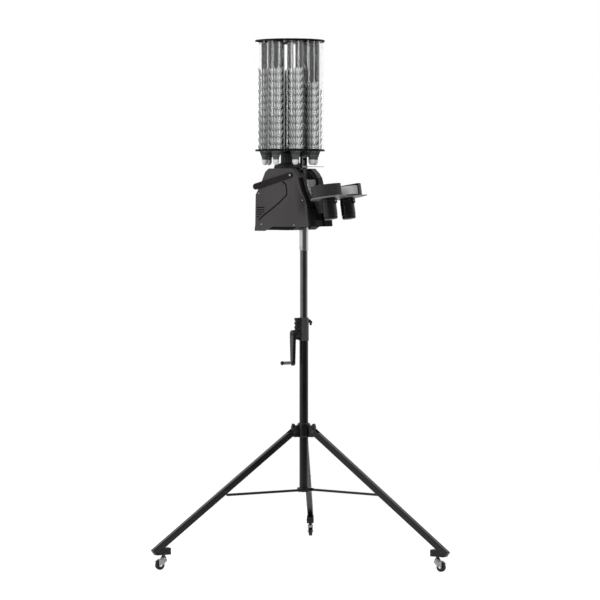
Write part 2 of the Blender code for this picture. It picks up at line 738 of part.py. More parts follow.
def build_caster(number, frame):
    """The fork turns about its stem, and the wheel trails outward on the fork's axle."""
    swivel = empty(f"caster_swivel_{number}", frame, (STEM_OUT, 0, 0))
    axle = empty(f"caster_axle_{number}", swivel, (WHEEL_TRAIL, 0, WHEEL_RADIUS))
    crown = 2 * WHEEL_RADIUS + 0.0025
    inside = WHEEL_WIDTH / 2 + FORK_GAP
    outside = inside + FORK_CHEEK
    head_top = BLOCK_BOTTOM - SEAT
    fork = turned(
        f"caster_fork_{number}",
        [
            (0, head_top + STEM_DEPTH),
            (STEM_RADIUS, head_top + STEM_DEPTH),
            (STEM_RADIUS, head_top),
            (SWIVEL_HEAD_RADIUS * 0.8, head_top),
            (SWIVEL_HEAD_RADIUS, (head_top + crown) / 2 + 0.002),
            (SWIVEL_HEAD_RADIUS * 0.8, crown),
            (0, crown),
        ],
        swivel,
        ZINC,
        sides=SMALL_ROUND,
    )
    cheek = [
        (-SWIVEL_HEAD_RADIUS, crown + FORK_CROWN),
        (-SWIVEL_HEAD_RADIUS, crown - 0.004),
        (WHEEL_TRAIL - 0.006, WHEEL_RADIUS - 0.004),
        (WHEEL_TRAIL + 0.005, WHEEL_RADIUS - 0.004),
        (WHEEL_TRAIL + 0.008, crown - 0.006),
        (WHEEL_TRAIL + 0.006, crown + FORK_CROWN),
    ]
    bridge = block(
        f"fork_bridge_{number}",
        (-SWIVEL_HEAD_RADIUS, -outside, crown),
        (WHEEL_TRAIL + 0.006, outside, crown + FORK_CROWN),
        swivel,
    )
    plates = [
        stand_piece(f"fork_cheek_{number}_{side}", [rounded(cheek, 0.003, 2)], across, swivel)
        for side, across in enumerate(((-outside, -inside), (inside, outside)))
    ]
    pin = cylinder(
        f"fork_axle_{number}",
        AXLE_RADIUS,
        -outside - 0.0015,
        outside + 0.0015,
        axle,
        turn=ALONG_ACROSS,
        sides=SMALL_ROUND,
    )
    fuse(fork, bridge, *plates, pin)
    half = WHEEL_WIDTH / 2
    bore = AXLE_RADIUS + SEAT
    edge = 0.0025
    profile = [
        (WHEEL_RADIUS - edge, half),
        (WHEEL_RADIUS, half - edge),
        (WHEEL_RADIUS, edge - half),
        (WHEEL_RADIUS - edge, -half),
        (bore, -half),
        (bore, half),
    ]
    turned(f"caster_wheel_{number}", profile, axle, RUBBER, turn=ALONG_ACROSS, closed=True)


def build_crank_unit(mast):
    """Sleeve, ribbed worm housing and crank boss, all on the side of the crank."""
    frame = empty("crank_side", mast, (0, 0, 0), (0, 0, CRANK_ANGLE))
    axis_height = HOUSING_BOTTOM + CRANK_AXIS_HEIGHT
    lip = 0.004
    narrow = MAST_UPPER_RADIUS + SLIDE_GAP
    wide = MAST_LOWER_RADIUS + SEAT
    step = MAST_LOWER_TOP + SEAT
    housing = turned(
        "crank_housing",
        [
            (0, HOUSING_TOP),
            (HOUSING_RADIUS - 0.001, HOUSING_TOP),
            (HOUSING_RADIUS, HOUSING_TOP - 0.001),
            (HOUSING_RADIUS, HOUSING_BOTTOM + lip * 1.6),
            (HOUSING_RADIUS + 0.001, HOUSING_BOTTOM + lip),
            (HOUSING_RADIUS, HOUSING_BOTTOM),
            (0, HOUSING_BOTTOM),
        ],
        mast,
        PLASTIC_BLACK,
    )
    narrow_bore = cylinder("housing_bore", narrow, HOUSING_BOTTOM - 0.01, HOUSING_TOP + 0.01, mast)
    wide_bore = cylinder("housing_socket", wide, HOUSING_BOTTOM - 0.01, step, mast)
    worm_top = HOUSING_TOP - 0.0004
    worm_base = worm_top - GEARBOX_HEIGHT
    pitch = GEARBOX_HEIGHT / GEARBOX_RIBS
    profile = [(0, worm_top)]
    for rib in range(GEARBOX_RIBS):
        top = worm_top - rib * pitch
        profile.append((GEARBOX_RADIUS - 0.001, top))
        profile.append((GEARBOX_RADIUS, top - 0.002))
        profile.append((GEARBOX_RADIUS, top - pitch * 0.62))
        profile.append((GEARBOX_RADIUS - 0.003, top - pitch * 0.75))
    profile.append((GEARBOX_RADIUS - 0.003, worm_base))
    profile.append((0, worm_base))
    worm = turned("worm_housing", profile, frame, None, at=(GEARBOX_OFFSET, 0, 0), sides=20)
    boss = cylinder(
        "crank_boss",
        CRANK_BOSS_RADIUS,
        HOUSING_RADIUS - 0.0005,
        CRANK_BOSS_END,
        frame,
        turn=ALONG_OUT,
        at=(0, 0, axis_height),
        sides=20,
    )
    web = block(
        "gear_case",
        (HOUSING_RADIUS - 0.001, -0.0125, HOUSING_BOTTOM + 0.004),
        (CRANK_BOSS_END - 0.006, 0.0125, worm_base + 0.003),
        frame,
    )
    shaft_hole = cylinder(
        "crank_shaft_hole",
        CRANK_SHAFT_RADIUS + SEAT,
        CRANK_BOSS_END - 0.0195,
        CRANK_BOSS_END + 0.0165,
        frame,
        turn=ALONG_OUT,
        at=(0, 0, axis_height),
        sides=SMALL_ROUND,
    )
    knob_hole = cylinder(
        "knob_hole",
        KNOB_STEM_RADIUS + SEAT,
        -HOUSING_RADIUS - 0.0095,
        -MAST_UPPER_RADIUS - 0.001,
        frame,
        turn=ALONG_OUT,
        at=(0, 0, HOUSING_BOTTOM + KNOB_HEIGHT),
        sides=SMALL_ROUND,
    )
    fuse(housing, worm, boss, web)
    cut(housing, narrow_bore, wide_bore, shaft_hole, knob_hole)

    turn = empty("crank_axis", frame, (CRANK_BOSS_END + SEAT, 0, axis_height))
    arm_outline = capsule((0, 0), (CRANK_THROW, 0), CRANK_ARM_WIDTH / 2, CRANK_ARM_TIP / 2)
    arm = outline_piece("crank_arm", [arm_outline], 0, CRANK_ARM_THICKNESS, turn, STEEL_BLACK, ALONG_OUT)
    bevel(arm, 0.003, 2)
    shaft = cylinder(
        "crank_shaft",
        CRANK_SHAFT_RADIUS,
        -0.016,
        0.004,
        turn,
        turn=ALONG_OUT,
        sides=SMALL_ROUND,
    )
    pin_hole = cylinder(
        "grip_hole",
        GRIP_PIN_RADIUS + SEAT,
        CRANK_ARM_THICKNESS - 0.008,
        0.03,
        turn,
        turn=ALONG_OUT,
        at=(0, 0, -CRANK_THROW),
        sides=SMALL_ROUND,
    )
    fuse(arm, shaft)
    cut(arm, pin_hole)

    spin = empty("grip_axis", turn, (CRANK_ARM_THICKNESS + SEAT, 0, -CRANK_THROW))
    end = GRIP_LENGTH
    turned(
        "crank_grip",
        [
            (0, end),
            (GRIP_RADIUS * 0.8, end),
            (GRIP_RADIUS + 0.002, end - 0.003),
            (GRIP_RADIUS + 0.002, end - 0.008),
            (GRIP_RADIUS, end - 0.011),
            (GRIP_RADIUS, 0.012),
            (GRIP_RADIUS * 0.75, 0.004),
            (GRIP_RADIUS * 0.75, 0),
            (GRIP_PIN_RADIUS, 0),
            (GRIP_PIN_RADIUS, -0.0075),
            (0, -0.0075),
        ],
        spin,
        PLASTIC_BLACK,
        turn=ALONG_OUT,
        sides=20,
    )


def build_lock_knob(mast):
    """A wing screw opposite the crank."""
    height = HOUSING_BOTTOM + KNOB_HEIGHT
    axis = empty("knob_axis", mast, (0, 0, height), (0, 0, CRANK_ANGLE + pi))
    start = MAST_UPPER_RADIUS + 0.0015
    face = HOUSING_RADIUS + 0.002
    knob = cylinder(
        "mast_lock_knob",
        KNOB_STEM_RADIUS,
        start,
        face + 0.006,
        axis,
        PLASTIC_BLACK,
        turn=ALONG_OUT,
        sides=SMALL_ROUND,
    )
    wing_line = [
        (face, 0.010),
        (face + 0.006, 0.008),
        (face + 0.016, -0.002),
        (face + 0.012, -KNOB_WING * 0.62),
        (face + 0.006, -KNOB_WING * 0.62),
        (face + 0.006, -0.006),
        (face, -0.006),
    ]
    wing = stand_piece("knob_wing", [rounded(wing_line, 0.002, 2)], (-0.006, 0.006), axis)
    fuse(knob, wing)


def build_upper_mast(lift):
    bottom = MAST_LOWER_TOP - MAST_UPPER_INSIDE
    top = SLEEVE_BOTTOM + SLEEVE_GRIP
    inner = MAST_UPPER_RADIUS - MAST_WALL
    turned(
        "mast_upper_tube",
        tube_profile(MAST_UPPER_RADIUS, inner, bottom, top),
        lift,
        STEEL_BLACK,
        closed=True,
    )


# Head


def cover_outline():
    return list(REAR_OUTLINE) + list(FRONT_OUTLINE) + list(LOWER_STEP)


def groove_band():
    """The groove's centre line given width, as one outline."""
    left = []
    right = []
    points = [Vector(point) for point in GROOVE_LINE]
    for index, point in enumerate(points):
        before = points[max(index - 1, 0)]
        after = points[min(index + 1, len(points) - 1)]
        heading = (after - before).normalized()
        normal = Vector((-heading.y, heading.x)) * GROOVE_WIDTH / 2
        left.append(tuple(point + normal))
        right.append(tuple(point - normal))
    return left + right[::-1]


def build_side_cover(name, sign, head):
    """Half of the shell: an open surface, thickened inward, closed at the side, top, back and front."""
    seam = 0.00015
    wide = sorted((sign * seam, sign * HEAD_HALF_WIDTH))
    cover = side_piece(name, [cover_outline()], wide, head, SHELL_GREY)
    bm = bmesh.new()
    bm.from_mesh(cover.data)
    bmesh.ops.dissolve_limit(bm, angle_limit=radians(1), verts=bm.verts, edges=bm.edges)
    local_seam = -sign * seam
    open_faces = []
    for face in bm.faces:
        middle = face.calc_center_median()
        at_seam = abs(middle.z - local_seam) < 0.00005
        low = all(vert.co.y < COVER_LOWER_EDGE + 0.0001 for vert in face.verts)
        if at_seam or low:
            open_faces.append(face)
    bmesh.ops.delete(bm, geom=open_faces, context="FACES")
    bm.to_mesh(cover.data)
    bm.free()
    bevel(cover, SHELL_EDGE, 2, 50)
    wall = cover.modifiers.new("wall", "SOLIDIFY")
    wall.thickness = SHELL_WALL
    wall.offset = -1
    wall.use_even_offset = True

    inner = sorted((-sign * 0.01, sign * OPENING_HALF_WIDTH))
    mouth = head_block(f"{name}_mouth", (0.0, 0.12), inner, (-0.02, SHELL_TOP + 0.03), head)
    tools = [mouth]
    outside = sorted((sign * (HEAD_HALF_WIDTH - GROOVE_DEPTH), sign * (HEAD_HALF_WIDTH + 0.01)))
    tools.append(side_piece(f"{name}_groove", [groove_band()], outside, head))
    through = sorted((sign * (HEAD_HALF_WIDTH - 0.01), sign * (HEAD_HALF_WIDTH + 0.01)))
    for row, end in enumerate(VENT_ENDS):
        middle = VENT_TOP - row * VENT_PITCH
        up = (middle - VENT_HEIGHT / 2, middle + VENT_HEIGHT / 2)
        tools.append(head_block(f"{name}_vent_{row}", (VENT_START, end), through, up, head))
    tools.append(
        cylinder(
            f"{name}_handle_hole",
            HANDLE_PIN_RADIUS + SEAT,
            through[0],
            through[1],
            head,
            turn=ALONG_OUT,
            at=(0, -HANDLE_PIVOT[0], HANDLE_PIVOT[1]),
            sides=SMALL_ROUND,
        )
    )
    cut(cover, *tools)


def build_base_tray(head):
    """The black pan under the shell, with the mast boss, tilt posts and ribbed front wall."""
    half = HEAD_HALF_WIDTH - SHELL_WALL - SEAT
    pan_line = [
        (TRAY_REAR, TRAY_RIM),
        (TRAY_REAR, 0),
        (TRAY_STEP_START, 0),
        (TRAY_STEP_END, COVER_LOWER_EDGE),
        (TRAY_FRONT, COVER_LOWER_EDGE),
        (TRAY_FRONT - 0.002, TRAY_RIM),
    ]
    tray = side_piece("base_tray", [pan_line], (-half, half), head, PLASTIC_BLACK)
    bm = bmesh.new()
    bm.from_mesh(tray.data)
    bmesh.ops.dissolve_limit(bm, angle_limit=radians(1), verts=bm.verts, edges=bm.edges)
    top = [face for face in bm.faces if all(abs(vert.co.y - TRAY_RIM) < 0.0001 for vert in face.verts)]
    bmesh.ops.delete(bm, geom=top, context="FACES")
    bm.to_mesh(tray.data)
    bm.free()
    wall = tray.modifiers.new("wall", "SOLIDIFY")
    wall.thickness = SHELL_WALL
    wall.offset = -1
    wall.use_even_offset = True

    boss = cylinder("mast_boss", MAST_BOSS_RADIUS, -0.004, MAST_BOSS_TOP, head)
    pieces = [boss]
    tilt_at, tilt_up = TILT_PIVOT
    for side, sign in enumerate((-1, 1)):
        across = sorted((sign * POST_INSET, sign * (POST_INSET + POST_THICKNESS)))
        post = [
            (tilt_at - 0.018, COVER_LOWER_EDGE + 0.001),
            (tilt_at + 0.006, COVER_LOWER_EDGE + 0.001),
        ]
        post += arc(POST_RADIUS, 0, pi, (tilt_at - 0.002, tilt_up), 8)
        pieces.append(side_piece(f"tilt_post_{side}", [post], across, head))
    grille_half = OPENING_HALF_WIDTH - SLIDE_GAP
    back = FRONT_GRILLE_AT
    pieces.append(
        head_block(
            "front_grille",
            (back, back + 0.003),
            (-grille_half, grille_half),
            (COVER_LOWER_EDGE + 0.0005, FRONT_GRILLE_TOP),
            head,
        )
    )
    for rib in range(GRILLE_RIBS):
        middle = -grille_half + (rib + 0.5) * 2 * grille_half / GRILLE_RIBS
        across = (middle - 0.002, middle + 0.002)
        up = (COVER_LOWER_EDGE + 0.001, FRONT_GRILLE_TOP - 0.001)
        pieces.append(head_block(f"grille_rib_{rib}", (back + 0.001, back + 0.007), across, up, head))
    fuse(tray, *pieces)
    sleeve_hole = cylinder("sleeve_hole", SLEEVE_RADIUS + SEAT, -0.03, SLEEVE_LENGTH - SLEEVE_TO_HEAD + SEAT, head)
    pin_hole = cylinder(
        "tilt_pin_hole",
        TILT_PIN_RADIUS + SEAT,
        -0.07,
        0.07,
        head,
        turn=ALONG_OUT,
        at=(0, -tilt_at, tilt_up),
        sides=SMALL_ROUND,
    )
    cut(tray, sleeve_hole, pin_hole)


def build_head_sleeve(head):
    bore = MAST_UPPER_RADIUS + SEAT
    top = SLEEVE_LENGTH - SLEEVE_TO_HEAD
    bottom = -SLEEVE_TO_HEAD
    cap = SLEEVE_GRIP - SLEEVE_TO_HEAD + SEAT
    edge = 0.001
    profile = [
        (0, top),
        (SLEEVE_RADIUS, top),
        (SLEEVE_RADIUS, bottom + edge),
        (SLEEVE_RADIUS - edge, bottom),
        (bore, bottom),
        (bore, cap),
        (0, cap),
    ]
    turned("head_sleeve", profile, head, CHROME)


def build_pedestal(head):
    """The block and fluted tower that carry the magazine, over its drive motor."""
    frame = empty("magazine_post", head, (0, -MAGAZINE_FORWARD, 0))
    base = SHELL_TOP + SEAT
    shoulder = base + PEDESTAL_STEP
    tower_top = BOTTOM_DISC_BASE - 0.004
    half_x = PEDESTAL_HALF_WIDTH
    half_y = PEDESTAL_HALF_LENGTH
    pedestal = block("top_pedestal", (-half_x, -half_y, base), (half_x, half_y, shoulder), frame, PLASTIC_BLACK)
    bm = bmesh.new()
    bm.from_mesh(pedestal.data)
    upper = [vert for vert in bm.verts if vert.co.z > shoulder - 0.001]
    bmesh.ops.scale(bm, vec=(0.84, 0.92, 1), verts=upper)
    bm.to_mesh(pedestal.data)
    bm.free()
    bevel(pedestal, 0.004, 2)
    steps = TOWER_FLUTES * 4
    flutes = []
    for step in range(steps):
        angle = 2 * pi * step / steps
        depth = TOWER_FLUTE_DEPTH * (1 + cos(TOWER_FLUTES * angle)) / 2
        radius = TOWER_RADIUS - depth
        flutes.append((radius * cos(angle), radius * sin(angle)))
    tower = outline_piece("tower", [flutes], shoulder - 0.004, tower_top, frame)
    hollow = cylinder(
        "tower_hollow",
        TOWER_RADIUS - TOWER_FLUTE_DEPTH - TOWER_WALL,
        base - 0.01,
        tower_top - TOWER_WALL,
        frame,
    )
    bore = cylinder("tower_bore", SHAFT_RADIUS + SEAT, tower_top - 0.02, tower_top + 0.02, frame, sides=20)
    fuse(pedestal, tower)
    cut(pedestal, hollow, bore)

    top = tower_top - TOWER_WALL - SEAT
    shaft_hole = BOTTOM_DISC_BASE - SHAFT_DEPTH - SEAT
    low = top - MAGAZINE_MOTOR_LENGTH
    turned(
        "magazine_motor",
        [
            (SHAFT_RADIUS + SEAT, top),
            (MAGAZINE_MOTOR_RADIUS, top),
            (MAGAZINE_MOTOR_RADIUS, top - 0.018),
            (MAGAZINE_MOTOR_RADIUS - 0.002, top - 0.019),
            (MAGAZINE_MOTOR_RADIUS - 0.002, low + 0.002),
            (MAGAZINE_MOTOR_RADIUS - 0.004, low),
            (0, low),
            (0, shaft_hole),
            (SHAFT_RADIUS + SEAT, shaft_hole),
        ],
        frame,
        ZINC,
        sides=24,
        closed=True,
    )


def build_channel(head):
    """The black hood and the clear chute that turn a falling shuttle towards the wheels."""
    outer = CHANNEL_RADIUS + CHANNEL_WALL
    front = 0.060
    middle = (0, -CHANNEL_FORWARD)
    back_outer = arc(outer, 0, pi, middle, 16)
    back_inner = arc(CHANNEL_RADIUS, pi, 0, middle, 16)
    horseshoe = [(outer, -front)] + back_outer + [(-outer, -front), (-CHANNEL_RADIUS, -front)]
    horseshoe += back_inner + [(CHANNEL_RADIUS, -front)]
    hood = outline_piece("front_hood", [horseshoe], HOOD_BOTTOM, HOOD_TOP, head, PLASTIC_BLACK)
    inset = 0.0015
    inside = [(forward - inset, up) for forward, up in FRONT_OUTLINE]
    shape = [(-0.06, COVER_LOWER_EDGE), (-0.06, SHELL_TOP)] + inside
    keep_inside(hood, side_piece("hood_front_line", [shape], (-0.05, 0.05), head))

    start_up = HOOD_BOTTOM - SEAT
    bend_up = start_up - CHUTE_STRAIGHT
    stations = [(CHANNEL_FORWARD, start_up, 0.0)]
    bend_centre = CHANNEL_FORWARD + CHUTE_BEND
    bend_steps = 6
    for step in range(bend_steps + 1):
        turn = pi / 2 * step / bend_steps
        forward = bend_centre - CHUTE_BEND * cos(turn)
        up = bend_up - CHUTE_BEND * sin(turn)
        stations.append((forward, up, turn))
    bm = bmesh.new()
    rows = []
    section_steps = 12
    for forward, up, turn in stations:
        row = []
        for step in range(section_steps + 1):
            angle = pi * (step / section_steps - 0.5)
            deep = CHANNEL_RADIUS * cos(angle)
            side = CHANNEL_RADIUS * sin(angle)
            row.append(bm.verts.new((side, -(forward - deep * cos(turn)), up - deep * sin(turn))))
        rows.append(row)
    for upper, lower in zip(rows, rows[1:]):
        for step in range(section_steps):
            bm.faces.new((upper[step], upper[step + 1], lower[step + 1], lower[step]))
    chute = from_bmesh("shuttle_chute", bm, head, CLEAR, smooth=True)
    flip_towards(chute.data, Vector((0, 0, 0)))
    wall = chute.modifiers.new("wall", "SOLIDIFY")
    wall.thickness = CHANNEL_WALL
    wall.offset = 1
    wall.use_even_offset = True


def flip_towards(mesh, behind):
    """Points an open surface's faces at the side where the given point lies."""
    bm = bmesh.new()
    bm.from_mesh(mesh)
    bm.faces.ensure_lookup_table()
    face = bm.faces[len(bm.faces) // 2]
    if face.normal.dot(behind - face.calc_center_median()) < 0:
        bmesh.ops.reverse_faces(bm, faces=bm.faces)
    bm.to_mesh(mesh)
    bm.free()


def build_handle(head):
    pivot_forward, pivot_up = HANDLE_PIVOT
    frame = empty("handle_axis", head, (0, -pivot_forward, pivot_up))
    grip = (HANDLE_GRIP[0] - pivot_forward, HANDLE_GRIP[1] - pivot_up)
    inner = HEAD_HALF_WIDTH + SLIDE_GAP
    outer = inner + HANDLE_THICKNESS
    handle = cylinder(
        "carry_handle",
        HANDLE_GRIP_RADIUS,
        -outer + 0.0005,
        outer - 0.0005,
        frame,
        PLASTIC_BLACK,
        turn=ALONG_OUT,
        at=(0, -grip[0], grip[1]),
        sides=24,
    )
    for side, sign in enumerate((-1, 1)):
        across = sorted((sign * inner, sign * outer))
        line = capsule((0, 0), grip, HANDLE_ARM_HALF, HANDLE_GRIP_RADIUS + 0.001)
        arm = side_piece(f"handle_arm_{side}", [line], across, frame)
        reach = sorted((sign * (HEAD_HALF_WIDTH - SHELL_WALL), sign * (inner + 0.001)))
        pin = cylinder(
            f"handle_pin_{side}",
            HANDLE_PIN_RADIUS,
            reach[0],
            reach[1],
            frame,
            turn=ALONG_OUT,
            sides=SMALL_ROUND,
        )
        fuse(handle, arm, pin)


# Launcher


def build_launcher(head):
    tilt_at, tilt_up = TILT_PIVOT
    frame = empty("launcher_tilt", head, (0, -tilt_at, tilt_up), (-TILT_REST, 0, 0))
    build_plate(frame)
    build_tilt_bracket(frame)
    for name, sign in (("left", -1), ("right", 1)):
        axis = empty(f"launch_axis_{name}", frame, (sign * LAUNCH_SPACING / 2, -LAUNCH_FORWARD, 0))
        build_launch_wheel(name, axis)
        build_motor(name, sign, axis)
        build_guard(name, sign, axis)


def build_plate(frame):
    low = PLATE_BASE
    high = PLATE_TOP
    plate = head_block(
        "launcher_plate",
        (-0.003, 0.070),
        (-NECK_HALF_WIDTH, NECK_HALF_WIDTH),
        (low, high),
        frame,
        STEEL_BLACK,
    )
    middle_forward = (LAUNCH_FORWARD - PLATE_MIDDLE_REAR, LAUNCH_FORWARD + PLATE_MIDDLE_FRONT)
    middle_half = LAUNCH_SPACING / 2 - PLATE_MIDDLE_INSET
    middle = head_block("plate_middle", middle_forward, (-middle_half, middle_half), (low, high), frame)
    fuse(plate, middle)
    for side, sign in enumerate((-1, 1)):
        centre = (sign * LAUNCH_SPACING / 2, -LAUNCH_FORWARD, 0)
        disc = cylinder(f"plate_disc_{side}", PLATE_DISC_RADIUS, low, high, frame, at=centre, sides=48)
        lug_side = sorted(sign * (LAUNCH_SPACING / 2 + offset) for offset in PLATE_LUG_SIDE)
        lug_rim = LAUNCH_FORWARD + PLATE_DISC_RADIUS
        lug_forward = (lug_rim - PLATE_LUG_ROOT, lug_rim + PLATE_LUG_PROUD)
        lug = head_block(f"plate_lug_{side}", lug_forward, lug_side, (low, high), frame)
        hole = cylinder(f"plate_hole_{side}", MOTOR_BOSS_RADIUS + SEAT, -0.02, 0.03, frame, at=centre, sides=20)
        fuse(plate, disc, lug)
        cut(plate, hole)


def build_tilt_bracket(frame):
    """A folded channel under the plate's neck, with the tilt pin through its ears."""
    top = PLATE_BASE - SEAT
    outer = NECK_HALF_WIDTH - 0.001
    inner = outer - BRACKET_SIDE
    bracket = head_block("tilt_bracket", (-0.002, 0.070), (-outer, outer), (top - 0.0025, top), frame, STEEL_BLACK)
    ear = arc(0.0085, pi, 1.5 * pi, (0, 0), 5)
    ear += [(0.010, -0.012), (0.024, -0.045), (0.040, -0.045), (0.070, -0.004), (0.070, top - 0.0003)]
    ear += [(-0.0085, top - 0.0003)]
    pieces = []
    for side, sign in enumerate((-1, 1)):
        across = sorted((sign * inner, sign * outer))
        pieces.append(side_piece(f"bracket_ear_{side}", [ear], across, frame))
    pin_end = POST_INSET + POST_THICKNESS + 0.002
    pin = cylinder("bracket_pin", TILT_PIN_RADIUS, -pin_end, pin_end, frame, turn=ALONG_OUT, sides=20)
    fuse(bracket, *pieces, pin)


def build_launch_wheel(name, axis):
    low = LAUNCH_WHEEL_BASE
    high = low + LAUNCH_WHEEL_HEIGHT
    radius = LAUNCH_WHEEL_RADIUS
    turned(
        f"launch_wheel_{name}",
        [
            (0, high - 0.002),
            (0.011, high - 0.002),
            (0.011, high - 0.007),
            (radius - 0.010, high - 0.007),
            (radius - 0.010, high),
            (radius - 0.002, high),
            (radius, high - 0.002),
            (radius, low + 0.002),
            (radius - 0.002, low),
            (LAUNCH_SHAFT_RADIUS, low),
            (LAUNCH_SHAFT_RADIUS, 0.002),
            (0, 0.002),
        ],
        axis,
        FOAM_GREY,
        sides=32,
    )


def build_motor(name, sign, axis):
    top = PLATE_BASE - SEAT
    low = top - MOTOR_LENGTH
    boss_top = LAUNCH_WHEEL_BASE - 0.0006
    bore = LAUNCH_SHAFT_RADIUS + SEAT
    motor = turned(
        f"motor_{name}",
        [
            (bore, boss_top),
            (MOTOR_BOSS_RADIUS, boss_top),
            (MOTOR_BOSS_RADIUS, top),
            (MOTOR_RADIUS - 0.001, top),
            (MOTOR_RADIUS, top - 0.001),
            (MOTOR_RADIUS, low + 0.006),
            (MOTOR_RADIUS - 0.0015, low + 0.005),
            (MOTOR_RADIUS - 0.0015, low + 0.0015),
            (MOTOR_RADIUS - 0.003, low),
            (0, low),
            (0, 0),
            (bore, 0),
        ],
        axis,
        PLASTIC_BLACK,
        closed=True,
    )
    terminal = block(
        f"motor_terminal_{name}",
        (-0.008, -MOTOR_RADIUS - 0.007, top - 0.024),
        (0.008, -MOTOR_RADIUS + 0.004, top - 0.002),
        axis,
    )
    fuse(motor, terminal)


def build_guard(name, sign, axis):
    """A half cylinder with a flat top, open on the side of the other wheel."""
    low = PLATE_TOP + SEAT
    high = low + GUARD_HEIGHT
    past = GUARD_PAST_HALF
    start = -pi / 2 if sign > 0 else pi / 2
    half_disc = arc(GUARD_RADIUS, start - past, start + pi + past, (0, 0), 28)
    guard = outline_piece(f"wheel_guard_{name}", [half_disc], low, high, axis, PLASTIC_BLACK)
    inner_radius = GUARD_RADIUS - GUARD_WALL
    hollow = cylinder(f"guard_hollow_{name}", inner_radius, low - 0.01, high - GUARD_ROOF, axis, sides=56)
    cut(guard, hollow)


# Claw


def build_claw(head):
    base = SHELL_TOP + SEAT
    back = RAIL_FORWARD - RAIL_DEPTH / 2
    front = RAIL_FORWARD + RAIL_DEPTH / 2
    outer = RAIL_SPACING / 2 + RAIL_THICKNESS / 2
    inner = RAIL_SPACING / 2 - RAIL_THICKNESS / 2
    top = base + RAIL_HEIGHT
    foot_front = FRONT_OUTLINE[0][0]
    rails = head_block("claw_rails", (back, front), (-outer, outer), (top - RAIL_THICKNESS, top), head, ZINC)
    pieces = []
    for side, sign in enumerate((-1, 1)):
        across = sorted((sign * inner, sign * outer))
        pieces.append(head_block(f"rail_{side}", (back, front), across, (base, top - 0.0005), head))
        foot = sorted((sign * inner, sign * (outer + 0.012)))
        pieces.append(head_block(f"rail_foot_{side}", (back - 0.0005, foot_front), foot, (base, base + 0.002), head))
    fuse(rails, *pieces)
    bevel(
        head_block(
            "claw_drive",
            (back - 0.004, front + 0.003),
            (-outer - 0.003, outer + 0.003),
            (top + SEAT, top + SEAT + CLAW_BLOCK_HEIGHT),
            head,
            PLASTIC_BLACK,
        ),
        0.0015,
        1,
    )
    slide = empty("claw_slide", head, (0, -RAIL_FORWARD, CLAW_HEIGHT))
    half = inner - SLIDE_GAP
    carriage_base = base + 0.0025 - CLAW_HEIGHT
    depth = RAIL_DEPTH / 2
    claw = head_block(
        "claw_fork",
        (-depth + 0.001, depth + 0.004),
        (-half, half),
        (carriage_base, carriage_base + CARRIAGE_HEIGHT),
        slide,
        ZINC,
    )
    reach = CLAW_REACH - RAIL_FORWARD
    notch = COLUMN_RADIUS + MAGAZINE_FORWARD - RAIL_FORWARD
    blade_half = CLAW_GAP / 2 + CLAW_PRONG
    blade_low = -CLAW_THICKNESS / 2
    blade_high = CLAW_THICKNESS / 2
    blade = head_block(
        "claw_blade",
        (depth + SLIDE_GAP, reach),
        (-blade_half, blade_half),
        (blade_low, blade_high),
        slide,
    )
    round_notch = cylinder(
        "claw_notch",
        CLAW_GAP / 2,
        -0.01,
        0.01,
        slide,
        at=(0, -notch, 0),
        sides=24,
    )
    straight_notch = head_block("claw_mouth", (notch, reach + 0.01), (-CLAW_GAP / 2, CLAW_GAP / 2), (-0.01, 0.01), slide)
    fuse(claw, blade)
    cut(claw, round_notch, straight_notch)


# Magazine


def column_places():
    for index in range(MAGAZINE_COLUMNS):
        angle = radians(-90) + 2 * pi * index / MAGAZINE_COLUMNS
        yield index, COLUMN_RADIUS * cos(angle), COLUMN_RADIUS * sin(angle)


def skirt_radius_at(height_over_neck):
    skirt = SHUTTLE_LENGTH - CORK_LENGTH
    return CORK_RADIUS + (SKIRT_RADIUS - CORK_RADIUS) * height_over_neck / skirt


def build_magazine(head):
    frame = empty("magazine_axis", head, (0, -MAGAZINE_FORWARD, 0))
    disc_top = BOTTOM_DISC_BASE + DISC_THICKNESS
    neck = CORK_BOTTOM + CORK_LENGTH
    seat_radius = skirt_radius_at(disc_top - neck) + 2 * SEAT
    lower_holes = [circle(seat_radius, (x, y), HOLE_ROUND) for _, x, y in column_places()]
    bottom = outline_piece(
        "magazine_bottom_disc",
        [circle(DISC_RADIUS, sides=48)] + lower_holes,
        BOTTOM_DISC_BASE,
        disc_top,
        frame,
        PLASTIC_BLACK,
    )
    hub = turned(
        "magazine_hub",
        [
            (0, disc_top + 0.010),
            (HUB_RADIUS * 0.6, disc_top + 0.010),
            (HUB_RADIUS, disc_top + 0.004),
            (HUB_RADIUS, BOTTOM_DISC_BASE - 0.0035),
            (SHAFT_RADIUS, BOTTOM_DISC_BASE - 0.0035),
            (SHAFT_RADIUS, BOTTOM_DISC_BASE - SHAFT_DEPTH),
            (0, BOTTOM_DISC_BASE - SHAFT_DEPTH),
        ],
        frame,
        None,
        sides=24,
    )
    fuse(bottom, hub)
    mouth = TUBE_RADIUS - TUBE_WALL
    upper_holes = [circle(mouth, (x, y), HOLE_ROUND) for _, x, y in column_places()]
    outline_piece(
        "magazine_top_disc",
        [circle(DISC_RADIUS, sides=48)] + upper_holes,
        TOP_DISC_BASE,
        TOP_DISC_BASE + DISC_THICKNESS,
        frame,
        PLASTIC_BLACK,
    )
    tube_base = disc_top + SEAT
    for index, x, y in column_places():
        turned(
            f"magazine_tube_{index + 1}",
            tube_profile(TUBE_RADIUS, mouth, tube_base, tube_base + TUBE_LENGTH),
            frame,
            CLEAR,
            at=(x, y, 0),
            closed=True,
        )
        build_stack(index, (x, y, 0), frame)


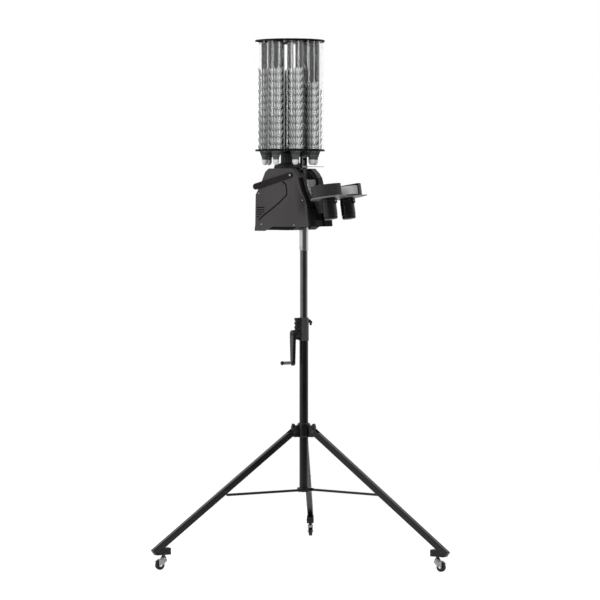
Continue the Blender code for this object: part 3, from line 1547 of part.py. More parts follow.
def build_stack(index, at, frame):
    """Nested shuttlecocks, each one's skirt standing in the rim of the one below."""
    count = SHUTTLE_COUNTS[index]
    neck = CORK_BOTTOM + CORK_LENGTH
    rims = [CORK_BOTTOM + SHUTTLE_LENGTH + SHUTTLE_PITCH * step for step in range(count)]
    tucked = skirt_radius_at(SHUTTLE_LENGTH - CORK_LENGTH - SHUTTLE_PITCH)
    inner_floor = rims[-1] - (SHUTTLE_LENGTH - CORK_LENGTH) * 0.8
    profile = [
        (0, inner_floor),
        (skirt_radius_at((SHUTTLE_LENGTH - CORK_LENGTH) * 0.2) - 2 * SKIRT_WALL, inner_floor),
        (SKIRT_RADIUS - SKIRT_WALL, rims[-1]),
    ]
    for step in range(count - 1, 0, -1):
        profile.append((SKIRT_RADIUS, rims[step]))
        profile.append((tucked, rims[step - 1] + 0.0001))
    profile.append((SKIRT_RADIUS, rims[0]))
    profile.append((CORK_RADIUS, neck))
    profile.append((CORK_RADIUS, CORK_BOTTOM + CORK_RADIUS * 0.8))
    profile.append((CORK_RADIUS * 0.8, CORK_BOTTOM + CORK_RADIUS * 0.3))
    profile.append((CORK_RADIUS * 0.4, CORK_BOTTOM))
    profile.append((0, CORK_BOTTOM))
    turned(f"shuttle_stack_{index + 1}", profile, frame, NYLON, at=at, sides=STACK_SIDES)


def build_electrics(head):
    floor = SHELL_WALL + SEAT
    length, width, height = BATTERY_SIZE
    battery = head_block(
        "battery_pack",
        (BATTERY_CENTRE - length / 2, BATTERY_CENTRE + length / 2),
        (-width / 2, width / 2),
        (floor, floor + height),
        head,
        PLASTIC_BLACK,
    )
    bevel(battery, 0.004, 1)
    length, thickness, height = BOARD_SIZE
    forward = BOARD_FORWARD
    side = HEAD_HALF_WIDTH - BOARD_TO_COVER
    head_block(
        "control_board",
        (forward - length / 2, forward + length / 2),
        (side - thickness / 2, side + thickness / 2),
        (floor, floor + height),
        head,
        BOARD_GREEN,
    )


def build_machine():
    mast = empty("mast_axis", None, (0, MAST_Y, 0))
    leg_frames = [
        empty(f"leg_frame_{number}", mast, (0, 0, 0), (0, 0, radians(angle)))
        for number, angle in enumerate(LEG_ANGLES, 1)
    ]
    build_mast(mast)
    build_lower_collar(mast, leg_frames)
    build_leg_collar(mast, leg_frames)
    for number, frame in enumerate(leg_frames, 1):
        build_leg(number, frame)
        build_brace(number, frame)
        build_caster(number, frame)
    build_crank_unit(mast)
    build_lock_knob(mast)
    build_upper_mast(mast)
    head = empty("head_swivel", mast, (0, 0, HEAD_HEIGHT))
    build_head_sleeve(head)
    build_base_tray(head)
    build_side_cover("side_cover_left", -1, head)
    build_side_cover("side_cover_right", 1, head)
    build_pedestal(head)
    build_channel(head)
    build_handle(head)
    build_launcher(head)
    build_claw(head)
    build_magazine(head)
    build_electrics(head)
    bpy.context.view_layer.update()


build_machine()
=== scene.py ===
"""Looks for the badminton serving machine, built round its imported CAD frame.

Metres, +Z up, floor at z = 0. The machine throws along -Y.
Head pieces are written with (forward, side, up): forward is -Y, side is +X.
Stand pieces are written with (out, across, up): out points away from the mast.
"""

from math import atan2, cos, hypot, pi, radians, sin, tan

import bmesh
import bpy
from mathutils import Matrix, Vector


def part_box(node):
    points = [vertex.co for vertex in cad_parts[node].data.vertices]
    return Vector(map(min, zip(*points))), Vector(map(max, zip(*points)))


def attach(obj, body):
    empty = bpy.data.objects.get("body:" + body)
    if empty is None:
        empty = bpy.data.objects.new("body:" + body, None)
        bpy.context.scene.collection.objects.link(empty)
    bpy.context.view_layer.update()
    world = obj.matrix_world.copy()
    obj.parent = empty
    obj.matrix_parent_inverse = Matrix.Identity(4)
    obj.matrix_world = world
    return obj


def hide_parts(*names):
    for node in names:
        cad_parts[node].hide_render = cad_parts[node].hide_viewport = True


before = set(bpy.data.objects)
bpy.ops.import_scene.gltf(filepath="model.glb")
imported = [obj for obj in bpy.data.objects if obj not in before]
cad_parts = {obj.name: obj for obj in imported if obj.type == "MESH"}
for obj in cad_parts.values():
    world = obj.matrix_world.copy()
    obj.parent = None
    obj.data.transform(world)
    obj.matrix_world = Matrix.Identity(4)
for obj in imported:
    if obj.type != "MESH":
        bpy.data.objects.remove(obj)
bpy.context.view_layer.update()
SCENE = bpy.context.scene

# Clearances, and how close points are merged
SEAT = 0.0003
SLIDE_GAP = 0.0005
MERGE_OUTLINE = 0.000002
MERGE_CAD = 0.000005

# Legs, casters and braces
LEG_ANGLES = (270, 30, 150)
LEG_INCLINE = radians(36)
LEG_LENGTH = 0.7725
LEG_SIZE = 0.025
LEG_WALL = 0.0015
LEG_CORNER = 0.0035
LEG_HEEL = 0.012
LEG_SLOT = 0.025
LEG_PIVOT_RADIUS = 0.048
LEG_CAP = 0.0035
WHEEL_RADIUS = 0.0185
WHEEL_WIDTH = 0.015
WHEEL_TRAIL = 0.016
AXLE_RADIUS = 0.003
AXLE_NUT_RADIUS = 0.0046
FORK_SHEET = 0.0018
FORK_SIDE_GAP = 0.0015
FORK_CROWN_GAP = 0.0025
FORK_REAR = -0.0115
BRAKE_TAB_RADII = (0.0013, 0.0042)
BRAKE_TAB_ARC = (radians(34), radians(96))
BRAKE_TAB_HALF_WIDTH = 0.0074
CASTER_SETBACK = 0.0544
LEG_AXIS_OVER_CASTER = 0.1005
BLOCK_BOTTOM = 0.059
BLOCK_TOP = 0.086
BLOCK_REACH = 0.027
BLOCK_WIDTH = 0.029
BRACE_ALONG_LEG = 0.3889
BRACE_DROP = 0.0147
BRACE_HEIGHT = 0.010
BRACE_THICKNESS = 0.003
BRACE_PIN_RADIUS = 0.0028
RING_RADIUS = 0.028
RING_HEIGHT = 0.016
COLLAR_RADIUS = 0.030
COLLAR_HEIGHT = 0.058
COLLAR_BELOW_PIVOT = 0.0246
LUG_THICKNESS = 0.014
LUG_REACH = 0.009

# Mast and crank unit
MAST_LOWER_RADIUS = 0.018
MAST_UPPER_RADIUS = 0.0155
MAST_WALL = 0.002
MAST_PLUG_RADIUS = 0.0158
PIN_RADIUS = 0.004
SLEEVE_RADIUS = 0.0185
SLEEVE_TO_HEAD = 0.083
CRANK_ANGLE = radians(150)
HOUSING_RADIUS = 0.0205
HOUSING_HEIGHT = 0.094
GEARBOX_OFFSET = 0.027
GEARBOX_RADIUS = 0.0155
GEARBOX_HEIGHT = 0.050
GEARBOX_RIBS = 3
GEARBOX_RIB_SHAPE = ((0.0022, 0), (0.0004, 0.14), (0, 0.34), (0.0008, 0.60), (0.0032, 0.80), (0.0034, 0.96))
GEAR_CASE_END = 0.0375
CRANK_AXIS_HEIGHT = 0.026
CRANK_BOSS_RADIUS = 0.016
CRANK_BOSS_END = 0.0435
CRANK_THROW = 0.116
CRANK_ARM_WIDTH = 0.036
CRANK_ARM_TIP = 0.024
CRANK_ARM_THICKNESS = 0.013
GRIP_RADIUS = 0.0065
GRIP_LENGTH = 0.048
KNOB_HEIGHT = 0.078
KNOB_WING = 0.028

# Head shell
HEAD_HALF_WIDTH = 0.0925
SHELL_WALL = 0.003
OPENING_HALF_WIDTH = 0.034
SHELL_TOP = 0.252
COVER_LOWER_EDGE = 0.014
REAR_OUTLINE = (
    (-0.182, -0.004),
    (-0.178, 0.021),
    (-0.176, 0.144),
    (-0.165, 0.163),
    (-0.148, 0.196),
    (-0.129, 0.238),
    (-0.112, SHELL_TOP),
)
FRONT_OUTLINE = (
    (-0.002, SHELL_TOP),
    (0.018, 0.233),
    (0.031, 0.214),
    (0.045, 0.163),
    (0.065, 0.125),
    (0.073, 0.102),
    (0.082, COVER_LOWER_EDGE),
)
LOWER_STEP = ((-0.090, COVER_LOWER_EDGE), (-0.131, -0.004))
GROOVE_LINE = (
    (-0.0442, 0.198),
    (-0.0278, 0.1866),
    (-0.0234, 0.1628),
    (-0.0234, 0.144),
    (-0.0558, 0.1156),
    (-0.0951, 0.0874),
    (-0.1345, 0.0616),
    (-0.160, 0.0406),
)
VENT_ENDS = (-0.130, -0.1312, -0.1312, -0.1443, -0.1554)
VENT_START = -0.172
VENT_TOP = 0.0923
VENT_PITCH = 0.0093
VENT_HEIGHT = 0.004
COVER_BEVEL = 0.0022
COVER_SEAM = 0.00015
RECESS_DEPTH = 0.0012
GROOVE_WIDTH = 0.0068
COVER_SCREWS = (
    (-0.148, 0.0233, 0.0042),
    (0.0115, 0.0213, 0.0042),
    (-0.160, 0.150, 0.0036),
    (0.052, 0.122, 0.0036),
)
INSERT_SIDE = 0.055
BEZEL_TOP = 0.222
GRILLE_SIDE = 0.0765
GRILLE_TOP = 0.098
GRILLE_GROOVES = 8
GRILLE_FIRST = 0.0385
GRILLE_PITCH = 0.0050
GRILLE_HALF_GROOVE = 0.0013
GRILLE_HALF_SEAM = 0.0006
INSERT_HALF_SEAM = 0.0005
FRONT_EDGE = 0.095
SEAM_INNER = 0.030
HANDLE_PIVOT = (-0.005, 0.225)
HANDLE_GRIP = (-0.174, 0.178)
HANDLE_ARM_HALF = 0.011
HANDLE_THICKNESS = 0.0045
HANDLE_GRIP_RADIUS = 0.012
HANDLE_HOLE_RADIUS = 0.0043
HANDLE_RIBS = 9
HANDLE_RIB_FIRST = -0.064
HANDLE_RIB_PITCH = 0.016
HANDLE_RIB_SHAPE = ((0, -0.0060), (0.0008, -0.0036), (0.0008, 0.0036), (0, 0.0060))

# Launcher, measured from its tilt pin with its plate level
TILT_PIVOT = (0.060, 0.109)
TILT_REST = radians(8.7)
LAUNCH_FORWARD = 0.1044
LAUNCH_SPACING = 0.140
LAUNCH_WHEEL_RADIUS = 0.058
LAUNCH_WHEEL_HEIGHT = 0.036
LAUNCH_WHEEL_BASE = 0.0146
PLATE_BASE = 0.0055
PLATE_THICKNESS = 0.0043
PLATE_DISC_RADIUS = 0.0725
PLATE_NECK = (-0.003, 0.070)
PLATE_BRIDGE = (0.050, 0.150)
PLATE_BRIDGE_HALF_WIDTH = 0.062
PLATE_LUG_SIDES = (0.100, 0.112)
NECK_HALF_WIDTH = 0.027
EAR_RADIUS = 0.0085
TILT_PIN_END = 0.0432
GUARD_RADIUS = 0.0655
GUARD_HEIGHT = 0.049
GUARD_WALL = 0.003
GUARD_ROOF = 0.0045
MOTOR_RADIUS = 0.029
MOTOR_LENGTH = 0.087
MOTOR_BOSS_RADIUS = 0.0085
MOTOR_SLOTS = 10
DECK_SCREW_CIRCLE = 0.021
GUARD_SCREW_CIRCLE = 0.054
BELL_SCREW_CIRCLE = 0.0185
HUB_WINDOWS = 6
HUB_WINDOW_CIRCLE = 0.027
HUB_WINDOW_RADIUS = 0.0085

# Shuttle channel and claw
CHANNEL_RADIUS = 0.032
CHANNEL_WALL = 0.0017
CHANNEL_FORWARD = 0.036
HOOD_TOP = 0.245
HOOD_BOTTOM = 0.206
CHUTE_BEND = 0.022
CHUTE_STRAIGHT = 0.0255
CHUTE_STEPS = 14
CHUTE_SIDES = 32

# Magazine
MAGAZINE_FORWARD = -0.0674
COLUMNS = 8
COLUMN_RADIUS = 0.105
DISC_RADIUS = 0.1435
DISC_THICKNESS = 0.006
BOTTOM_DISC_BASE = 0.323
TUBE_LENGTH = 0.444
TUBE_RADIUS = 0.035
TUBE_WALL = 0.002
TUBE_COLLAR = 0.0022
TOWER_RADIUS = 0.0385
TOWER_FLUTES = 16
TOWER_FLUTE_DEPTH = 0.0012
PEDESTAL_HALF_LENGTH = 0.045
PEDESTAL_HALF_WIDTH = 0.059
PEDESTAL_STEP = 0.020
PEDESTAL_TAPER = (0.84, 0.92, 1)
PEDESTAL_SCREWS = (0.0425, 0.034)
HUB_RADIUS = 0.022
STUD_CIRCLE = 0.128

# Shuttlecocks
SHUTTLE_COUNTS = (10, 9, 12, 12, 12, 12, 12, 12)
SHUTTLE_LENGTH = 0.085
SHUTTLE_PITCH = 0.0284
CORK_RADIUS = 0.013
CORK_LENGTH = 0.025
SKIRT_RADIUS = 0.0315
CORK_BELOW_DISC = 0.057
SKIRT_LENGTH = SHUTTLE_LENGTH - CORK_LENGTH
FEATHERS = 16
FEATHER_WIDTHS = (
    (0.0, 0.0020),
    (0.22, 0.0027),
    (0.45, 0.0036),
    (0.68, 0.0045),
    (0.86, 0.0050),
    (1.0, 0.0008),
)
FEATHER_LEAN = radians(13)
QUILL_SIZES = ((-0.06, 0.0010), (0.5, 0.0008), (0.97, 0.0004))
QUILL_ROOT_INSET = 0.0022
QUILL_TIP_INSET = 0.0008

# Surfaces: how large the slow patches are, and how far the rub reaches from an edge
PATCH_SCALE = 9.0
RUB_REACH = 0.0012

# Studio
CAMERA_WAY = (-0.8425, -0.5388)
CAMERA_TURN = radians(-57.4)
CAMERA_DISTANCE = 9.84
CAMERA_HEIGHT = 1.514
LENS = 144
SENSOR = 36
IMAGE_SIZE = 600
IMAGE_CENTRE = (303.8, 189)
DIFFUSE_LEVEL = 0.45
DIM_ROOM = (-0.6074, -0.7945, 0.0)
FLOOR_RADIUS = 1.7
FLOOR_DROP = 0.0004
FLOOR_GLOW = 1.25
FLOOR_GLOW_SHARE = 0.74
LEG_END_REACH = 0.6533
LAMP_AIM = Vector((0, 0.1, 1.15))
LAMPS = (
    ("side_softbox", (-3.9, 1.9, 3.3), 1.3, 3.0, 118),
    ("front_fill", (-1.6, -4.6, 2.6), 2.0, 2.0, 90),
    ("rear_rim", (2.4, 2.9, 3.0), 0.8, 2.8, 40),
)

# Worked out from the frame and from the sizes above
MAST_LOW, MAST_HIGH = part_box("mast_lower_tube")
MAST_Y = (MAST_LOW.y + MAST_HIGH.y) / 2
MAST_BOTTOM = MAST_LOW.z
MAST_TOP = MAST_HIGH.z
HEAD_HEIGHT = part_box("side_cover_left")[0].z + 0.0045
STEM_ALONG_LEG = LEG_LENGTH - CASTER_SETBACK
STEM_OUT = LEG_PIVOT_RADIUS + STEM_ALONG_LEG * cos(LEG_INCLINE)
PIVOT_HEIGHT = LEG_AXIS_OVER_CASTER + STEM_ALONG_LEG * sin(LEG_INCLINE)
BRACE_OUT = LEG_PIVOT_RADIUS + BRACE_ALONG_LEG * cos(LEG_INCLINE) - BRACE_DROP * sin(LEG_INCLINE)
BRACE_LEVEL = PIVOT_HEIGHT - BRACE_ALONG_LEG * sin(LEG_INCLINE) - BRACE_DROP * cos(LEG_INCLINE)
BRACE_ROOT = LEG_PIVOT_RADIUS - BRACE_DROP
BRACE_SIDE = LEG_SIZE / 2 + SLIDE_GAP
HOUSING_BOTTOM = MAST_TOP - 0.012
HOUSING_TOP = HOUSING_BOTTOM + HOUSING_HEIGHT
TOP_DISC_BASE = BOTTOM_DISC_BASE + DISC_THICKNESS + TUBE_LENGTH + 2 * SEAT
CORK_BOTTOM = BOTTOM_DISC_BASE - CORK_BELOW_DISC

# Where each group of pieces stands, and how a pulled outline or a turned solid is laid over
MAST = Matrix.Translation((0, MAST_Y, 0))
LEG_FRAMES = [MAST @ Matrix.Rotation(radians(angle), 4, "Z") for angle in LEG_ANGLES]
HEAD = Matrix.Translation((0, MAST_Y, HEAD_HEIGHT))
CRANK_SIDE = MAST @ Matrix.Rotation(CRANK_ANGLE, 4, "Z")
LAUNCHER = (
    HEAD
    @ Matrix.Translation((0, -TILT_PIVOT[0], TILT_PIVOT[1]))
    @ Matrix.Rotation(-TILT_REST, 4, "X")
)
MAGAZINE = HEAD @ Matrix.Translation((0, -MAGAZINE_FORWARD, 0))
LEVEL = Matrix.Identity(4)
STAND_SIDE = Matrix(((1, 0, 0, 0), (0, 0, -1, 0), (0, 1, 0, 0), (0, 0, 0, 1)))
HEAD_SIDE = Matrix(((0, 0, -1, 0), (-1, 0, 0, 0), (0, 1, 0, 0), (0, 0, 0, 1)))
ALONG_ACROSS = Matrix.Rotation(-pi / 2, 4, "X")
ALONG_OUT = Matrix.Rotation(pi / 2, 4, "Y")
UPSIDE_DOWN = Matrix.Rotation(pi, 4, "X")


# Materials


def add_node(tree, kind, inputs=None, **settings):
    """A node with its settings, whose inputs take a value or another node's output."""
    made = tree.nodes.new(kind)
    for key, value in settings.items():
        setattr(made, key, value)
    for key, value in (inputs or {}).items():
        if isinstance(value, bpy.types.NodeSocket):
            tree.links.new(value, made.inputs[key])
        else:
            made.inputs[key].default_value = value
    return made


def new_group(name, inputs, outputs):
    """An empty shader group with (name, kind, value) inputs and (name, kind) outputs."""
    tree = bpy.data.node_groups.new(name, "ShaderNodeTree")
    for label, kind, value in inputs:
        socket = tree.interface.new_socket(name=label, in_out="INPUT", socket_type="NodeSocket" + kind)
        socket.default_value = value
    for label, kind in outputs:
        tree.interface.new_socket(name=label, in_out="OUTPUT", socket_type="NodeSocket" + kind)
    return tree, tree.nodes.new("NodeGroupInput"), tree.nodes.new("NodeGroupOutput")


def math_node(tree, operation, first, second=0.0, clamp=False):
    settings = {"operation": operation, "use_clamp": clamp}
    return add_node(tree, "ShaderNodeMath", {0: first, 1: second}, **settings).outputs[0]


def ramp_between(tree, value, low, high, to_low=0.0, to_high=1.0):
    inputs = {0: value, 1: low, 2: high, 3: to_low, 4: to_high}
    return add_node(tree, "ShaderNodeMapRange", inputs, interpolation_type="SMOOTHSTEP").outputs[0]


def mix_colour(tree, factor, first, second):
    inputs = {"Factor": factor, 6: first, 7: second}
    return add_node(tree, "ShaderNodeMix", inputs, data_type="RGBA").outputs[2]


def toned(colour, share=1.0, lift=0.0):
    """The colour with an alpha, each channel multiplied by the share and lifted."""
    return (*[channel * share + lift for channel in colour], 1)


def object_place(tree):
    return add_node(tree, "ShaderNodeTexCoord").outputs["Object"]


def noise(tree, place, scale, detail):
    inputs = {"Vector": place, "Scale": scale, "Detail": detail}
    return add_node(tree, "ShaderNodeTexNoise", inputs).outputs[0]


def cells(tree, place, scale, **settings):
    inputs = {"Vector": place, "Scale": scale}
    return add_node(tree, "ShaderNodeTexVoronoi", inputs, **settings).outputs["Distance"]


def vector_math(tree, operation, first, second, output):
    return add_node(tree, "ShaderNodeVectorMath", {0: first, 1: second}, operation=operation).outputs[output]


def make_surface_grain():
    """Fine moulded or powder-coated grain, with slow patches that are a little rougher."""
    inputs = [("Grain Scale", "Float", 900.0), ("Patch Scale", "Float", PATCH_SCALE)]
    tree, given, result = new_group("surface_grain", inputs, [("Height", "Float"), ("Patches", "Float")])
    place = object_place(tree)
    fine = noise(tree, place, given.outputs["Grain Scale"], 2.0)
    coarse = noise(tree, place, given.outputs["Patch Scale"], 4.0)
    tree.links.new(fine, result.inputs["Height"])
    tree.links.new(ramp_between(tree, coarse, 0.35, 0.68), result.inputs["Patches"])
    return tree


def make_edge_rub():
    """A mask of the edges that hands and knocks have polished, broken up by noise."""
    inputs = [("Reach", "Float", RUB_REACH), ("Amount", "Float", 0.5)]
    tree, given, result = new_group("edge_rub", inputs, [("Mask", "Float")])
    place = object_place(tree)
    normal = add_node(tree, "ShaderNodeNewGeometry").outputs["Normal"]
    rounded = add_node(tree, "ShaderNodeBevel", {"Radius": given.outputs["Reach"]}, samples=4).outputs[0]
    turn = vector_math(tree, "DOT_PRODUCT", normal, rounded, "Value")
    edge = ramp_between(tree, math_node(tree, "SUBTRACT", 1.0, turn), 0.02, 0.22)
    patchy = ramp_between(tree, noise(tree, place, 70.0, 5.0), 0.36, 0.62)
    both = math_node(tree, "MULTIPLY", edge, patchy)
    tree.links.new(math_node(tree, "MULTIPLY", both, given.outputs["Amount"], True), result.inputs["Mask"])
    return tree


def make_settled_dust():
    """A thin film of dust on faces that look up, and none on the rest."""
    inputs = [
        ("Colour", "Color", (0.1, 0.1, 0.1, 1)),
        ("Dust", "Color", (0.36, 0.35, 0.33, 1)),
        ("Amount", "Float", 0.1),
    ]
    tree, given, result = new_group("settled_dust", inputs, [("Colour", "Color"), ("Mask", "Float")])
    where = add_node(tree, "ShaderNodeTexCoord")
    up = add_node(tree, "ShaderNodeSeparateXYZ", {0: where.outputs["Normal"]}).outputs["Z"]
    specks = noise(tree, where.outputs["Object"], 260.0, 6.0)
    level = ramp_between(tree, up, 0.45, 1.0)
    film = math_node(tree, "MULTIPLY", level, ramp_between(tree, specks, 0.3, 0.75))
    mask = math_node(tree, "MULTIPLY", film, given.outputs["Amount"], True)
    dusty = mix_colour(tree, mask, given.outputs["Colour"], given.outputs["Dust"])
    tree.links.new(dusty, result.inputs["Colour"])
    tree.links.new(mask, result.inputs["Mask"])
    return tree


def make_drawn_lines():
    """Fine lines along one direction, as drawing, rolling or brushing leaves them in metal."""
    inputs = [("Stretch", "Vector", (40.0, 40.0, 1600.0)), ("Smudge Scale", "Float", 30.0)]
    tree, given, result = new_group("drawn_lines", inputs, [("Height", "Float"), ("Smudges", "Float")])
    place = object_place(tree)
    drawn = vector_math(tree, "MULTIPLY", place, given.outputs["Stretch"], 0)
    marks = noise(tree, place, given.outputs["Smudge Scale"], 5.0)
    tree.links.new(noise(tree, drawn, 1.0, 3.0), result.inputs["Height"])
    tree.links.new(ramp_between(tree, marks, 0.42, 0.7), result.inputs["Smudges"])
    return tree


SURFACE_GRAIN = make_surface_grain()
EDGE_RUB = make_edge_rub()
SETTLED_DUST = make_settled_dust()
DRAWN_LINES = make_drawn_lines()


def group_node(tree, group, inputs):
    return add_node(tree, "ShaderNodeGroup", inputs, node_tree=group)


def new_material(name, **constants):
    """A material whose shader has these plain values on its own sockets."""
    material = bpy.data.materials.new(name)
    material.use_nodes = True
    shader = material.node_tree.nodes["Principled BSDF"]
    for key, value in constants.items():
        shader.inputs[key.replace("_", " ")].default_value = value
    return material, material.node_tree, shader


def bump_from(tree, shader, height, strength, distance):
    bump = add_node(tree, "ShaderNodeBump", {"Height": height, "Strength": strength, "Distance": distance})
    tree.links.new(bump.outputs[0], shader.inputs["Normal"])


def multiply_add(tree, first, second, added):
    inputs = {0: first, 1: second, 2: added}
    return add_node(tree, "ShaderNodeMath", inputs, operation="MULTIPLY_ADD").outputs[0]


def coated(
    name, colour, roughness, grain, bump, rub, rubbed, dust, patches=0.08, shine=0.5, reach=RUB_REACH
):
    """Moulded plastic, paint or rubber: grain, rubbed edges and a little dust over one colour."""
    material, tree, shader = new_material(name, Specular_IOR_Level=shine)
    texture = group_node(tree, SURFACE_GRAIN, {"Grain Scale": grain, "Patch Scale": PATCH_SCALE})
    edge = group_node(tree, EDGE_RUB, {"Reach": reach, "Amount": rub})
    shade = mix_colour(tree, texture.outputs["Patches"], toned(colour), toned(colour, 1.16, 0.001))
    worn = mix_colour(tree, edge.outputs["Mask"], shade, toned(rubbed))
    film = group_node(tree, SETTLED_DUST, {"Colour": worn, "Amount": dust})
    tree.links.new(film.outputs["Colour"], shader.inputs["Base Color"])
    rough = multiply_add(tree, texture.outputs["Patches"], patches, roughness)
    dusty = multiply_add(tree, film.outputs["Mask"], 0.9, rough)
    tree.links.new(math_node(tree, "ADD", dusty, 0.0, True), shader.inputs["Roughness"])
    bump_from(tree, shader, texture.outputs["Height"], bump, 0.0004)
    return material


def bright_metal(name, colour, roughness, stretch, bump, smudge):
    """Bare metal with the lines of its making and faint smudges."""
    material, tree, shader = new_material(name, Metallic=1.0)
    lines = group_node(tree, DRAWN_LINES, {"Stretch": stretch, "Smudge Scale": 30.0})
    shade = mix_colour(tree, lines.outputs["Smudges"], toned(colour), toned(colour, 0.82))
    tree.links.new(shade, shader.inputs["Base Color"])
    rough = multiply_add(tree, lines.outputs["Smudges"], smudge, roughness)
    tree.links.new(rough, shader.inputs["Roughness"])
    bump_from(tree, shader, lines.outputs["Height"], bump, 0.0003)
    return material


def foam_tread(name):
    """Grey cellular foam with paler patches and small open pores, painted dark grey as painted shade inside
    them.
    """
    material, tree, shader = new_material(name)
    place = object_place(tree)
    pores = ramp_between(tree, cells(tree, place, 620.0), 0.0, 0.35)
    patches = noise(tree, place, 34.0, 5.0)
    pale = ramp_between(tree, patches, 0.35, 0.7)
    base = mix_colour(tree, pale, (0.40, 0.41, 0.42, 1), (0.52, 0.53, 0.53, 1))
    # Painted shade: the pores are painted dark grey.
    tree.links.new(mix_colour(tree, pores, (0.20, 0.20, 0.21, 1), base), shader.inputs["Base Color"])
    tree.links.new(ramp_between(tree, patches, 0.3, 0.8, 0.72, 0.92), shader.inputs["Roughness"])
    bump_from(tree, shader, pores, 0.35, 0.0006)
    return material


def clear_plastic(name, tint, roughness, behind, clearness=1.0):
    """Clear acrylic with faint handling smudges. Painted shade: past its first tube the tint is painted
    darker, to a share of itself, and at grazing angles its edges are painted dark grey."""
    material, tree, shader = new_material(name, Transmission_Weight=clearness, IOR=1.49)
    lines = group_node(tree, DRAWN_LINES, {"Stretch": (60.0, 60.0, 2.0), "Smudge Scale": 14.0})
    # Painted shade: rays deeper than three transmissions take the tint darkened to the share given as behind.
    passed = add_node(tree, "ShaderNodeLightPath").outputs["Transmission Depth"]
    deep = math_node(tree, "GREATER_THAN", passed, 3.5)
    dim = mix_colour(tree, deep, toned(tint), toned(tint, behind))
    # Painted shade: at grazing angles the colour turns dark grey along the tube's edges.
    grazing = add_node(tree, "ShaderNodeLayerWeight", {"Blend": 0.5}).outputs["Facing"]
    rim = ramp_between(tree, grazing, 0.80, 0.97)
    tree.links.new(mix_colour(tree, rim, dim, (0.10, 0.105, 0.105, 1)), shader.inputs["Base Color"])
    hazy = ramp_between(tree, lines.outputs["Smudges"], 0, 1, roughness, roughness + 0.012)
    tree.links.new(hazy, shader.inputs["Roughness"])
    return material


def feather(name):
    """Goose feather with slanting barbs, light at its tip, with painted shade low down and along its edges.
    """
    material, tree, shader = new_material(name, Roughness=0.75, Specular_IOR_Level=0.2)
    across = add_node(tree, "ShaderNodeUVMap", uv_map="vane").outputs[0]
    parts = add_node(tree, "ShaderNodeSeparateXYZ", {0: across})
    along = parts.outputs[1]
    from_quill = math_node(tree, "ABSOLUTE", math_node(tree, "SUBTRACT", parts.outputs[0], 0.5))
    slant = multiply_add(tree, from_quill, 26.0, math_node(tree, "MULTIPLY", along, 46.0))
    barbs = ramp_between(tree, math_node(tree, "SINE", slant), -1.0, 1.0)
    # Painted shade: the vane is dark low down, where its neighbours would shade it, and dark along its edges,
    # where the gaps between vanes fall in shade.
    height = ramp_between(tree, along, 0.36, 0.74)
    low = mix_colour(tree, height, (0.070, 0.080, 0.076, 1), (0.95, 0.96, 0.95, 1))
    edge = ramp_between(tree, from_quill, 0.23, 0.40)
    body = mix_colour(tree, math_node(tree, "MULTIPLY", edge, 0.95), low, (0.085, 0.093, 0.091, 1))
    barbed = mix_colour(tree, math_node(tree, "MULTIPLY", barbs, 0.12), body, (0.25, 0.26, 0.26, 1))
    tree.links.new(barbed, shader.inputs["Base Color"])
    bump_from(tree, shader, barbs, 0.4, 0.0003)
    return material


def leather_cover(name, colour):
    """The thin skin over a cork, or tape or thread, creased and a little scuffed."""
    material, tree, shader = new_material(name)
    place = object_place(tree)
    creases = cells(tree, place, 900.0)
    scuffs = noise(tree, place, 90.0, 4.0)
    tone = mix_colour(tree, ramp_between(tree, scuffs, 0.45, 0.75), toned(colour), toned(colour, 0.8))
    tree.links.new(tone, shader.inputs["Base Color"])
    tree.links.new(ramp_between(tree, scuffs, 0.3, 0.7, 0.42, 0.6), shader.inputs["Roughness"])
    bump_from(tree, shader, creases, 0.2, 0.0002)
    return material


def circuit_board(name):
    """Green solder mask with copper tracks showing faintly under it."""
    material, tree, shader = new_material(name, Coat_Weight=0.4)
    tracks = cells(tree, object_place(tree), 150.0, distance="MANHATTAN")
    lines = ramp_between(tree, tracks, 0.32, 0.4)
    green = mix_colour(tree, lines, (0.015, 0.10, 0.04, 1), (0.03, 0.17, 0.07, 1))
    tree.links.new(green, shader.inputs["Base Color"])
    tree.links.new(ramp_between(tree, lines, 0, 1, 0.45, 0.3), shader.inputs["Roughness"])
    bump_from(tree, shader, lines, 0.3, 0.0002)
    return material


BLACK_STEEL = coated(
    "black_powder_coat", (0.0035, 0.0035, 0.0038), 0.24, 1500, 0.08, 0.9, (0.16, 0.16, 0.165), 0.012,
    shine=0.34, reach=0.0028,
)
BLACK_PLASTIC = coated(
    "black_moulding", (0.006, 0.006, 0.0064), 0.38, 1100, 0.10, 0.3, (0.045, 0.045, 0.047), 0.02,
    shine=0.28,
)
GLOSS_PLASTIC = coated(
    "black_gloss_moulding", (0.0035, 0.0035, 0.0038), 0.20, 1300, 0.05, 0.3, (0.05, 0.05, 0.052), 0.015,
    shine=0.36,
)
GREY_CASTING = coated(
    "dark_grey_casting", (0.044, 0.043, 0.044), 0.42, 900, 0.2, 0.7, (0.22, 0.22, 0.22), 0.02,
    shine=0.3, reach=0.002,
)
HANDLE_PLASTIC = coated(
    "handle_moulding", (0.0085, 0.0075, 0.008), 0.46, 1100, 0.12, 0.4, (0.05, 0.048, 0.05), 0.015,
    shine=0.2,
)
CHARCOAL = coated(
    "charcoal_moulding", (0.052, 0.0475, 0.050), 0.50, 950, 0.16, 0.6, (0.15, 0.145, 0.15), 0.02,
    shine=0.2, reach=0.0016,
)
MATT_BLACK = coated(
    "matt_black_moulding", (0.0045, 0.0045, 0.0048), 0.55, 1100, 0.10, 0.25, (0.04, 0.04, 0.042), 0.02,
    shine=0.12,
)
GUARD_GREY = coated(
    "guard_moulding", (0.027, 0.027, 0.028), 0.42, 1000, 0.12, 0.5, (0.12, 0.12, 0.12), 0.02,
    shine=0.22,
)
